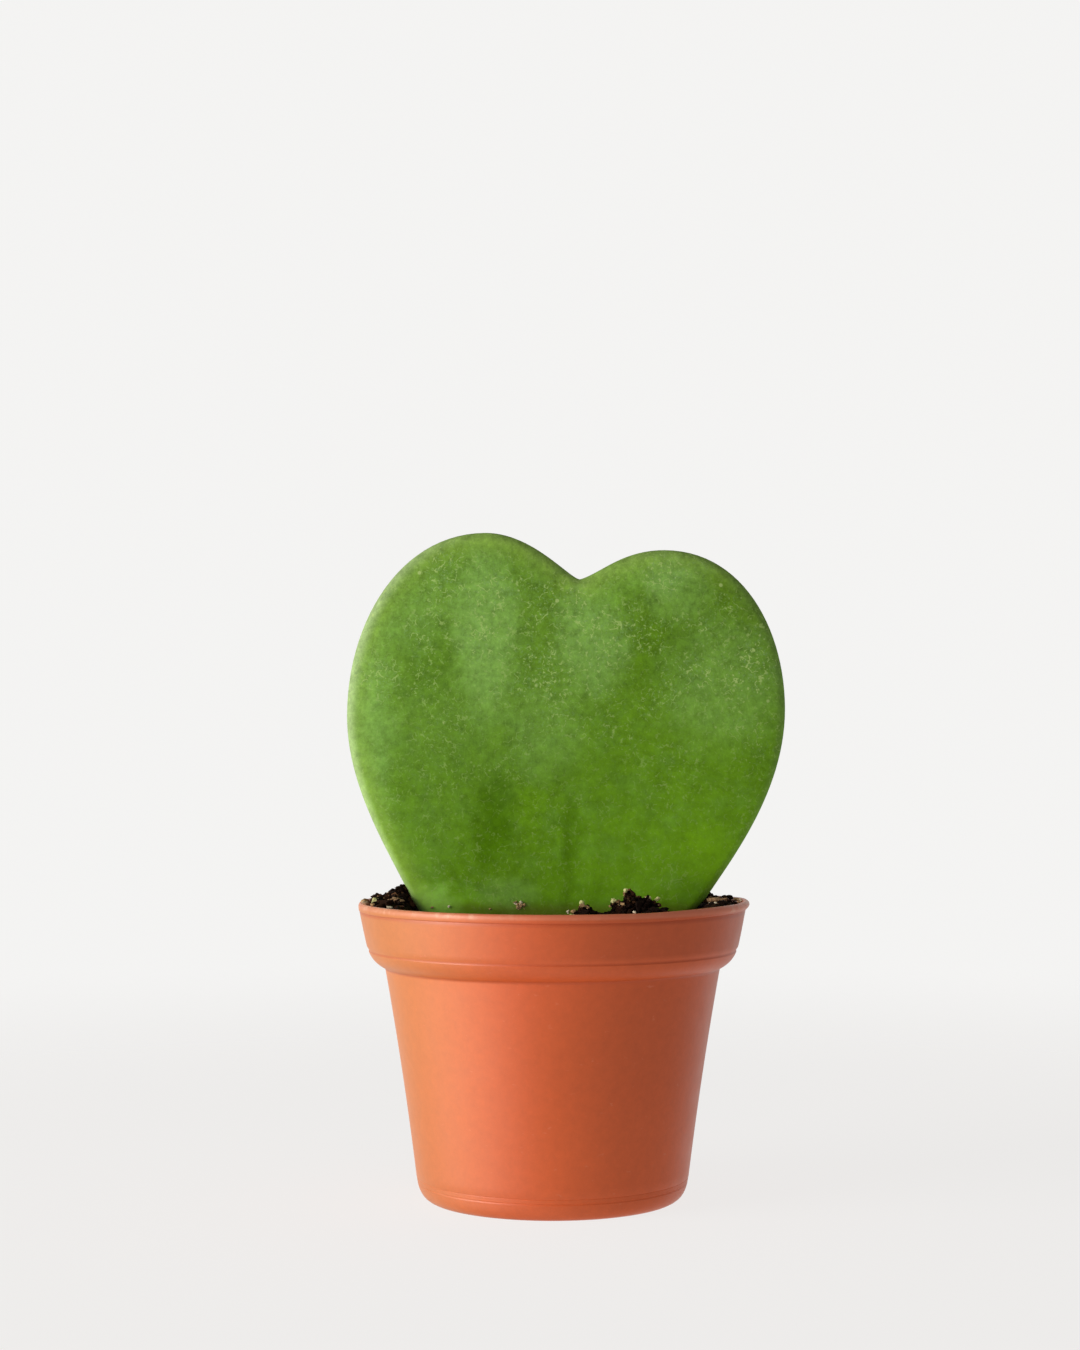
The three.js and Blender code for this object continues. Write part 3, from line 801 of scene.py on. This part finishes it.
# %% [markdown]
# ## Materials as sums
# Shader maths is easier to read as sums than as boxes. Wire wraps a socket, and each sum on it adds the Math
# node that works it out. Finish is one material. Its node() makes any other kind of node, settings first and
# then inputs. The rest are short names for what the materials below use often: a soft step, a band, mottling,
# specks, blended and scaled colours.

# %% Wires and finishes
MM_PER_METRE = 1000


class Wire:
    def __init__(self, finish, socket):
        self.finish, self.socket = finish, socket

    def __add__(self, other):
        return self.finish.sum("ADD", self, other)

    def __sub__(self, other):
        return self.finish.sum("SUBTRACT", self, other)

    def __rsub__(self, other):
        return self.finish.sum("SUBTRACT", other, self)

    def __mul__(self, other):
        return self.finish.sum("MULTIPLY", self, other)

    def __truediv__(self, other):
        return self.finish.sum("DIVIDE", self, other)

    __radd__, __rmul__ = __add__, __mul__

    def sibling(self, name):
        return Wire(self.finish, self.socket.node.outputs[name])


class Finish:
    def __init__(self, name, **constants):
        self.material = bpy.data.materials.new(name)
        self.material.use_nodes = True
        self.tree = self.material.node_tree
        self.shader = self.tree.nodes["Principled BSDF"]
        for socket, value in constants.items():
            self.shader.inputs[socket.replace("_", " ")].default_value = value
        self.place = self.node("ShaderNodeTexCoord", output="Object")
        split = self.node("ShaderNodeSeparateXYZ", inputs={0: self.place})
        self.x = split.sibling("X") * MM_PER_METRE
        self.height = split.sibling("Z") * MM_PER_METRE

    def node(self, kind, settings=None, inputs=None, output=0):
        made = self.tree.nodes.new(kind)
        for name, value in (settings or {}).items():
            setattr(made, name, value)
        for socket, value in (inputs or {}).items():
            self.feed(made.inputs[socket], value)
        return Wire(self, made.outputs[output])

    def feed(self, socket, value):
        if isinstance(value, Wire):
            self.tree.links.new(value.socket, socket)
        else:
            socket.default_value = value

    def sum(self, operation, first, second):
        return self.node("ShaderNodeMath", {"operation": operation}, {0: first, 1: second})

    def set(self, socket, value):
        self.feed(self.shader.inputs[socket], value)

    def attribute(self, name):
        return self.node("ShaderNodeAttribute", {"attribute_name": name}, output="Fac")

    def step(self, value, low, high):
        inputs = {"Value": value, "From Min": low, "From Max": high}
        return self.node("ShaderNodeMapRange", {"interpolation_type": "SMOOTHSTEP"}, inputs)

    def band(self, value, low, full, still_full, high):
        return self.step(value, low, full) * (1 - self.step(value, still_full, high))

    def vector(self, operation, first, second):
        return self.node("ShaderNodeVectorMath", {"operation": operation}, {0: first, 1: second})

    def mottle(self, size, detail=2, stretch=(1, 1, 1), shift=0.0, roughness=0.5):
        place = self.vector("MULTIPLY", self.place, [part * MM_PER_METRE / size for part in stretch])
        place = self.vector("ADD", place, (shift, shift, shift))
        inputs = {"Vector": place, "Scale": 1, "Detail": detail, "Roughness": roughness}
        return self.node("ShaderNodeTexNoise", inputs=inputs)

    def specks(self, size, radius, share, shift=0.0):
        place = self.vector("ADD", self.place, (shift, shift, shift))
        inputs = {"Vector": place, "Scale": MM_PER_METRE / size}
        distance = self.node("ShaderNodeTexVoronoi", inputs=inputs, output="Distance")
        picked = self.node("ShaderNodeSeparateColor", inputs={0: distance.sibling("Color")})
        reach = self.step(picked, 1 - share, 1.05) * (radius / size) + 0.001
        return 1 - self.step(distance / reach, 0.55, 1.0)

    def blend(self, share, first, second):
        first, second = ((*c, 1) if isinstance(c, tuple) else c for c in (first, second))
        return self.node("ShaderNodeMix", {"data_type": "RGBA"}, {0: share, 6: first, 7: second}, 2)

    def scaled(self, colour, factor):
        return self.node("ShaderNodeVectorMath", {"operation": "SCALE"}, {0: colour, 3: factor})

    def bump(self, height, depth, strength=1.0):
        inputs = {"Height": height, "Distance": depth * MM, "Strength": strength}
        self.set("Normal", self.node("ShaderNodeBump", inputs=inputs))

    def cover(self, *pieces):
        for piece in pieces:
            piece.data.materials.clear()
            piece.data.materials.append(self.material)

    def report(self):
        print(self.material.name, "has", len(self.tree.nodes), "nodes")


# %% [markdown]
# ## Terracotta-coloured plastic
# The pot's plastic is orange right through, but it isn't even: the melt left faint clouds, and small scuffs cross
# the body. Light is painted into it too: a paler sheen on the left, towards the window, painted shade on the
# collar, deeper on the right, and painted light from below on the lower right of the body.

# %% Colour the plastic
DEEP_ORANGE = (0.62, 0.098, 0.016)
LIGHT_ORANGE = (0.69, 0.112, 0.024)
SHEEN_ORANGE = (0.6, 0.19, 0.045)
SCUFFED_ORANGE = (0.75, 0.22, 0.11)
plastic = Finish("pot_plastic", IOR=1.5)
clouds = plastic.mottle(14, 3, stretch=(1, 1, 0.6))
orange = plastic.blend(clouds, DEEP_ORANGE, LIGHT_ORANGE)
# painted sheen: towards the window on the left the orange is blended paler
orange = plastic.blend(1 - plastic.step(plastic.x, -27, -3), orange, SHEEN_ORANGE)
# painted shade: the collar is darkened a little, more on the right, away from the window
on_collar = plastic.step(plastic.height, 38.3, 39.3)
shaded_collar = (0.03 + 0.08 * plastic.step(plastic.x, -3, 10)) * on_collar
# painted light: the lower body is lightened on the right, as by light from a pale table below
painted_foot_light = plastic.step(plastic.x, -9, 1) * (1 - plastic.step(plastic.height, 6, 26))
orange = plastic.scaled(orange, 1 - shaded_collar + 0.1 * painted_foot_light)
grain = plastic.mottle(1.6, 4, roughness=0.8)
orange = plastic.scaled(orange, 1 + 0.28 * (grain - 0.5))
scuffs = plastic.mottle(1.6, 3, stretch=(1, 1, 2.2), shift=3.0, roughness=0.6)
scuffs = plastic.step(scuffs, 0.66, 0.76)
orange = plastic.blend(scuffs * 0.35, orange, SCUFFED_ORANGE)
plastic.report()

# %% [markdown]
# A painted highlight runs along the top of the lip. The lip is also rubbed pale in patches, more on the left, where
# a painted highlight is laid into the wear, and at its right end, where dust and a painted highlight lie. Painted
# shade darkens the grooves under the lip, at the crease and at the neck. The plastic has a soft satin sheen, and a
# fine grain breaks up what it mirrors.

# %% Paint wear and highlights on the lip, shade in the grooves, and finish the pot
LIP_HIGHLIGHT = (0.75, 0.27, 0.16)
RUBBED_AND_LIT_LIP = (0.85, 0.5, 0.3)
DUSTY_AND_LIT_LIP = (0.72, 0.5, 0.33)
GROOVE_SHADE = (0.4, 0.05, 0.008)
on_lip = plastic.step(plastic.height, 44.6, 45.05)
rubbed = plastic.step(plastic.mottle(2.2, 4, shift=9.0, roughness=0.65), 0.5, 0.7)
rubbed_and_lit_left = 1 - plastic.step(plastic.x, -14, -4)
# painted highlight: a pale band along the lip's top
orange = plastic.blend(on_lip * 0.4, orange, LIP_HIGHLIGHT)
# wear, with a painted highlight laid into it on the left, towards the window
orange = plastic.blend(on_lip * rubbed * (0.12 + 0.33 * rubbed_and_lit_left), orange, RUBBED_AND_LIT_LIP)
# dust and a painted highlight at the lip's right end
orange = plastic.blend(on_lip * rubbed * plastic.step(plastic.x, 22, 28.8) * 0.6, orange, DUSTY_AND_LIT_LIP)
# painted shade in the grooves under the lip, at the crease and at the neck
lip_groove = plastic.band(plastic.height, 43.6, 44.15, 44.25, 44.5)
crease_line = plastic.band(plastic.height, 38.0, 38.2, 38.25, 38.6)
neck_line = plastic.band(plastic.height, 35.15, 35.45, 35.6, 35.95)
grooves = lip_groove * 0.45 + crease_line * 0.4 + neck_line * 0.35
plastic.set("Base Color", plastic.blend(grooves, orange, GROOVE_SHADE))
plastic.set("Roughness", 0.36 + 0.12 * plastic.mottle(3, 3) + 0.1 * scuffs)
plastic.bump(plastic.mottle(0.8, 4) + 0.6 * plastic.mottle(5, 2), 0.02, 0.5)
plastic.cover(pot)
plastic.report()

# %% [markdown]
# ## Leaf skin
# The skin is waxy and deep green. A pale bloom lies on it in soft patches, mostly above and on the left. In other
# patches it is rubbed off and the green is deeper; two of them, beside the midrib's foot, are painted shade of a
# fold and of the rib's right flank, and there the green is deepest. Here and there a fresher green shows. Each
# patch is an oval whose place is bent by noise, so that no edge of it is a clean curve.

# %% List the patches
BLOOM = [  # x, height, half width, half height, strength
    (-10.5, 88, 6.5, 18, 0.6), (6, 87, 7.5, 13, 0.65), (26, 79, 12, 13, 0.4), (-1, 72, 8, 10, 0.25),
    (-31, 72, 8, 26, 0.5), (-21, 56, 9, 9, 0.1), (20, 94, 7, 7, 0.4), (15, 98, 10, 6, 0.5),
    (11, 94, 5, 6, 0.2), (-22, 90, 9, 8, 0.2), (-7, 46.5, 5.5, 4, 0.35), (-19, 45, 7, 4.2, 0.4),
]
# the first two patches, beside the midrib's foot, are painted shade of a fold and of the rib's right flank
RUBBED_AND_SHADED = [
    (-9, 58, 3.4, 9, 0.8), (2.7, 55, 2.8, 8, 0.4), (-19, 82, 6, 9, 0.35), (17, 84, 7, 9, 0.2),
    (-15, 70, 7, 8, 0.1), (4.5, 47, 4, 3.5, 0.2), (22, 47.5, 4, 4, 0.35),
]
FRESH = [(-3.4, 61, 4, 5.5, 0.8), (23.7, 53.7, 6, 5, 0.85), (10, 94, 6, 7, 0.5), (26, 68, 6, 5, 0.3)]
DUSTY = [(1, 85, 10, 13, 0.5), (27, 84, 8, 13, 0.4)]
LIT_FOOT = (-17, 44.5, 9.5, 4.5, 1.05)
skin = Finish("leaf_skin", IOR=1.4, Specular_IOR_Level=0.05)
drift = 6 * (skin.mottle(5, 3, shift=1.0) - 0.5)


def patch(x, height, half_width, half_height, strength):
    across = (skin.x + drift - x) / half_width
    up = (skin.height + drift - height) / half_height
    return (1 - skin.step(across * across + up * up, 0, 1)) * strength


print("bloom patches:", len(BLOOM), "rubbed patches:", len(RUBBED_AND_SHADED))

# %% [markdown]
# The patches are laid over one another as colours: bloom over green, then the deeper green of the rubbed patches
# and the painted shade, then the fresh green. The back keeps little of them.

# %% Lay the green and the bloom
LOW_GREEN = (0.1, 0.225, 0.006)
HIGH_GREEN = (0.11, 0.225, 0.013)
BLOOM_GREEN = (0.22, 0.41, 0.08)
RUBBED_AND_SHADED_GREEN = (0.06, 0.15, 0.0005)
FRESH_GREEN = (0.13, 0.29, 0.004)
inward = skin.attribute("inward")
front = skin.attribute("front")
rise = skin.step(skin.height, 45, 100)
green = skin.blend(rise, LOW_GREEN, HIGH_GREEN)
bloom = 0.22 * (1 - skin.step(skin.x, -16, 14)) * skin.step(skin.height, 56, 74)
bloom = sum((patch(*oval) for oval in BLOOM), bloom)
dust = skin.mottle(1.8, 4, shift=11.0, roughness=0.8)
green = skin.blend(bloom * (0.4 + 1.2 * dust) * (0.3 + 0.7 * front), green, BLOOM_GREEN)
rubbed_off_and_shaded = sum(patch(*oval) for oval in RUBBED_AND_SHADED)
green = skin.blend(rubbed_off_and_shaded * front, green, RUBBED_AND_SHADED_GREEN)
fresh = sum(patch(*oval) for oval in FRESH)
green = skin.blend(fresh * front * 0.6, green, FRESH_GREEN)
skin.report()

# %% [markdown]
# Towards the edge, above and on the left where the window lights the leaf, the green is painted lighter and
# yellower as light, and the outermost round is painted pale as a sheen, most of all on the far left and more high
# up. Fine mottling and soft blotches cover all of it. The foot is painted lighter against the shade of the mix,
# more on the right and in a patch on the left, and the right half is painted lighter higher up as well, against
# its shading.

# %% Lighten the edge and mottle the skin
LIT_MARGIN_GREEN = (0.26, 0.41, 0.055)
EDGE_SHEEN_GREEN = (0.48, 0.59, 0.33)
BLUISH_GREEN = (0.13, 0.27, 0.06)
# painted light: the edge is lighter and yellower above and on the left, towards the window
lit_side = skin.step(skin.height - 1.2 * skin.x, 40, 85)
lit_margin = (1 - skin.step(inward, 0.0, 5.0)) * lit_side
green = skin.blend(lit_margin * 0.55, green, LIT_MARGIN_GREEN)
# painted sheen: the outermost round is pale, most of all on the far left and more high up
high_up = skin.step(skin.height, 50, 82)
edge_sheen = (1 - skin.step(inward, 0.0, 1.2 + 1.1 * high_up)) * (1 - 0.85 * skin.step(skin.x, -30, -10))
green = skin.blend(edge_sheen * (0.4 + 0.18 * high_up), green, EDGE_SHEEN_GREEN)
bare = (1 - rubbed_off_and_shaded) * (1 - fresh)
bluish = skin.step(skin.mottle(3, 3, shift=13.0), 0.42, 0.7) * bare
green = skin.blend(bluish * 0.14, green, BLUISH_GREEN)
# painted light: the foot is lightened against the mix's shade, and the right half against its shading
low = 1 - skin.step(skin.height, 46, 68)
right = skin.step(skin.x, -6, 10)
painted_light = 1.07 + low * (0.22 + 0.47 * right) + 0.17 * right * skin.band(skin.height, 52, 64, 72, 84)
painted_light = painted_light + patch(*LIT_FOOT)
cells = skin.mottle(1.5, 4, roughness=0.85)
blotches = skin.mottle(2.2, 2, shift=5.0) - 0.5
mottling = (cells - 0.5) * (1.3 + 0.6 * rise) + blotches * (0.5 - 0.25 * rise)
green = skin.scaled(green, painted_light + mottling)
skin.report()

# %% [markdown]
# Dried salts lie on the skin in clusters: as a film, as pale specks and as short crooked lines. Such a line
# is where a noise passes through its middle value. There are more salts high up, and few where the skin is
# rubbed.

# %% Lay the salts
FILM_GREEN = (0.24, 0.4, 0.13)
SPECK_GREEN = (0.42, 0.57, 0.18)
LINE_GREEN = (0.4, 0.56, 0.16)
GRAIN_GREEN = (0.5, 0.64, 0.22)
dusty = skin.step(skin.mottle(7, 3, shift=2.0), 0.4, 0.62)
dusty = dusty * (0.25 + 0.75 * skin.step(skin.height, 62, 88))
dusty = sum((patch(*oval) for oval in DUSTY), dusty) * (1 - rubbed_off_and_shaded) * (1 - 0.6 * fresh)
film = skin.step(skin.mottle(0.55, 3, shift=7.0, roughness=0.9), 0.5, 0.68)
film = film * (0.05 + 0.1 * bare + 0.85 * dusty)
green = skin.blend(film * 0.6, green, FILM_GREEN)
salts = skin.specks(0.6, 0.18, 0.8) * 0.55 + skin.specks(1.4, 0.3, 0.6, 3.0) * 0.6
green = skin.blend(salts * (0.22 + 0.78 * dusty), green, SPECK_GREEN)
crooked = skin.mottle(1.4, 2, shift=4.0) - 0.5
broken = skin.step(skin.mottle(0.8, 2, shift=8.0), 0.46, 0.58)
lines = (1 - skin.step(crooked * crooked, 0, 0.0009)) * broken
green = skin.blend(lines * (0.2 + 0.75 * dusty) * 0.85, green, LINE_GREEN)
grains_of_salt = skin.specks(3.6, 0.4, 0.8, 6.0) * skin.step(skin.height, 62, 82)
green = skin.blend(grains_of_salt * 0.6, green, GRAIN_GREEN)
skin.report()

# %% [markdown]
# The midrib is paler on the back, and soil has browned the foot, but not at its left end. Salts are dull, and
# so is the skin where it is seen at a flat angle.

# %% Finish the leaf
MIDRIB_GREEN = (0.2, 0.33, 0.06)
SOILED_GREEN = (0.105, 0.095, 0.012)
off_midrib = from_midrib(skin.x, skin.height)
midrib = (1 - skin.step(off_midrib * off_midrib, 0, 4)) * (1 - skin.step(skin.height, 60, 92)) * (1 - front)
green = skin.blend(midrib * 0.4, green, MIDRIB_GREEN)
soiled = (1 - skin.step(skin.height - 0.25 * drift, 44.2, 46.2)) * skin.step(skin.x, -19, -12)
green = skin.blend(soiled * 0.6, green, SOILED_GREEN)
skin.set("Base Color", green)
facing = skin.node("ShaderNodeLayerWeight", inputs={"Blend": 0.5}, output="Facing")
skin.set("Roughness", 0.4 + 0.15 * cells + 0.2 * salts + 0.5 * skin.step(facing, 0.5, 0.9))
skin.bump(cells + 0.5 * skin.mottle(0.45, 3), 0.06, 0.7)
skin.cover(leaf)
skin.report()

# %% [markdown]
# ## Peat, grit, bark, fibre and roots
# Moist peat is nearly black, and its crumbs go from black over brown to tan. The crumb's own random number
# picks its place on that scale. On the body of the mix, a noise does.

# %% Finish the mix
BLACK_PEAT = (0.01, 0.0045, 0.0028)
DARK_BROWN = (0.06, 0.024, 0.011)
BROWN = (0.2, 0.095, 0.042)
TAN = (0.55, 0.34, 0.16)
PALE_TAN = (0.9, 0.78, 0.55)
PEAT_DUST = (0.012, 0.006, 0.004)


def earthy(name, attribute):
    peat = Finish(name, Specular_IOR_Level=0.08)
    fine = peat.mottle(0.4, 4, roughness=0.7)
    tint = peat.attribute(attribute) if attribute else 0.85 * peat.mottle(0.6, 4, shift=5.0)
    brown = peat.blend(peat.step(tint, 0.35, 0.7), BLACK_PEAT, DARK_BROWN)
    brown = peat.blend(peat.step(tint, 0.7, 0.82), brown, BROWN)
    brown = peat.blend(peat.step(tint, 0.84, 0.92), brown, TAN)
    brown = peat.blend(peat.step(tint, 0.95, 0.975), brown, PALE_TAN)
    brown = peat.blend(peat.step(fine, 0.45, 0.7) * 0.7, brown, PEAT_DUST)
    peat.set("Base Color", brown)
    peat.set("Roughness", 0.8 + 0.2 * fine)
    peat.bump(fine, 0.15, 0.8)
    peat.report()
    return peat


earthy("peat", None).cover(mix)
earthy("peat_crumbs", "tint").cover(loose_mix)

# %% [markdown]
# The grains, chips, fibres and roots are each one speckled colour, dark to light. Bark and fibre have
# drawn-out speckles.

# %% Finish the grains, bark, fibres and roots
def flecked(name, dark, light, size, depth, stretch=(1, 1, 1)):
    finish = Finish(name)
    speckle = finish.mottle(size, 4, stretch=stretch, roughness=0.65)
    finish.set("Base Color", finish.blend(finish.step(speckle, 0.3, 0.7), dark, light))
    finish.set("Roughness", 0.75 + 0.15 * speckle)
    finish.bump(speckle, depth, 0.7)
    finish.report()
    return finish


grit = flecked("pale_grain", (0.6, 0.55, 0.2), (0.95, 0.93, 0.43), 0.4, 0.08)
bark = flecked("bark", (0.16, 0.08, 0.035), (0.5, 0.29, 0.14), 0.6, 0.12, stretch=(2.5, 1, 1))
fibre = flecked("fibre", (0.33, 0.22, 0.11), (0.68, 0.55, 0.36), 0.4, 0.06, stretch=(1, 3, 3))
root = flecked("root_skin", (0.4, 0.27, 0.13), (0.66, 0.52, 0.32), 0.8, 0.06)
grit.cover(*loose_pieces["grain"])
bark.cover(*loose_pieces["bark_chip"])
fibre.cover(*loose_pieces["fibre"])
root.cover(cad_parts["roots"])

# %% [markdown]
# ## Floor, light and air
# The plant stands on a plain pale floor. A floor that ends in a line behind the plant would draw the eye, so
# it fades out into air of the same brightness. Part of its light is its own, which keeps its shadow faint.

# %% Lay the floor
FLOOR_RADIUS = 0.9
FLOOR_FADE = (0.1, 0.4)
FLOOR_GREY = (0.13, 0.13, 0.13, 1)
FLOOR_GLOW = (0.795, 0.783, 0.772, 1)
deselect_all()
bpy.ops.mesh.primitive_circle_add(vertices=96, radius=FLOOR_RADIUS, fill_type="NGON", location=(0, 0, 0))
floor = bpy.context.object
floor.name = "pale_floor"
ground = Finish("pale_floor", Roughness=0.9)
from_middle = ground.node("ShaderNodeVectorMath", {"operation": "LENGTH"}, {0: ground.place}, output="Value")
ground.set("Base Color", FLOOR_GREY)
ground.set("Emission Color", FLOOR_GLOW)
ground.set("Emission Strength", 1.0)
ground.set("Specular IOR Level", 0.0)
ground.set("Alpha", 1 - ground.step(from_middle, *FLOOR_FADE))
ground.cover(floor)
ground.report()
floor.visible_diffuse = False
floor.visible_glossy = False
floor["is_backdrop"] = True

# %% [markdown]
# The light is soft and comes from the left and a little above, as from a window.

# %% Light the plant
WINDOW_AZIMUTH = math.radians(64)
WINDOW_ELEVATION = math.radians(10)
WINDOW_DISTANCE = 0.8
WINDOW_SIZE = 0.55
WINDOW_POWER = 4.75
WINDOW_COLOUR = (1.0, 0.985, 0.96)
level = math.cos(WINDOW_ELEVATION)
left, forward = math.sin(WINDOW_AZIMUTH), math.cos(WINDOW_AZIMUTH)
away = Vector((-left * level, -forward * level, math.sin(WINDOW_ELEVATION)))
aim = Vector((0, 0, 50 * MM))
bpy.ops.object.light_add(type="AREA", location=aim + away * WINDOW_DISTANCE)
light = bpy.context.object
light.name = "window_light"
light.rotation_euler = away.to_track_quat("Z", "Y").to_euler()
light.data.shape = "DISK"
light.data.size = WINDOW_SIZE
light.data.energy = WINDOW_POWER
light.data.color = WINDOW_COLOUR
light.visible_camera = False
print(light.name, "has", WINDOW_POWER, "watts")

# %% [markdown]
# The air has three strengths. The camera sees it pale. It lights the plant less brightly than it looks, and
# more from below than from above, as a pale table does, most of all from below the window. Gloss mirrors a
# third: dim in front and on the right, a little brighter behind, and brightest at the window. That gives the
# plastic its sheen on the left.

# %% Mix the air
AIR = (0.905, 0.9, 0.89, 1)
DIM_AIR = (1, 1, 1.01, 1)
SHEEN_AIR = (1, 0.99, 0.97, 1)
world = bpy.data.worlds.new("pale_air")
bpy.context.scene.world = world
world.use_nodes = True


class Air(Finish):
    def __init__(self, tree):
        self.tree = tree
        way = self.node("ShaderNodeTexCoord", output="Generated")
        split = self.node("ShaderNodeSeparateXYZ", inputs={0: way})
        self.right, self.back, self.up = (split.sibling(axis) for axis in "XYZ")

    def glow(self, colour, strength):
        return self.node("ShaderNodeBackground", inputs={"Color": colour, "Strength": strength})

    def either(self, share, first, second):
        return self.node("ShaderNodeMixShader", inputs={0: share, 1: first, 2: second})


air = Air(world.node_tree)
window = air.step(-0.9 * air.right - 0.44 * air.back, 0.5, 1.0)
table = air.step(-0.7 * air.right - 0.3 * air.back - 0.65 * air.up, 0.4, 1.0)
seen = air.glow(AIR, 1)
dim = air.glow(DIM_AIR, 0.45 - 0.27 * air.up + 0.63 * table)
sheen = air.glow(SHEEN_AIR, 0.25 + 3.3 * window + 0.6 * air.step(air.back, 0.1, 0.9))
is_camera = air.node("ShaderNodeLightPath", output="Is Camera Ray")
lit = air.either(is_camera.sibling("Is Glossy Ray"), dim, sheen)
air.feed(world.node_tree.nodes["World Output"].inputs["Surface"], air.either(is_camera, lit, seen))
bpy.context.scene.view_settings.view_transform = "Standard"
print("the air has", len(air.tree.nodes), "nodes")

# %% [markdown]
# ## The sizes
# The imported model's box and the box of what is now shown are printed side by side. The finer pieces
# have to stay inside the imported model's box.

# %% Print the sizes
sizes = {"packed": [list(corner) for corner in packed_box], "dressed": [list(corner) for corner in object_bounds()]}
for name, (low, high) in sizes.items():
    print(name, "from", [round(v / MM, 2) for v in low], "to", [round(v / MM, 2) for v in high], "mm")
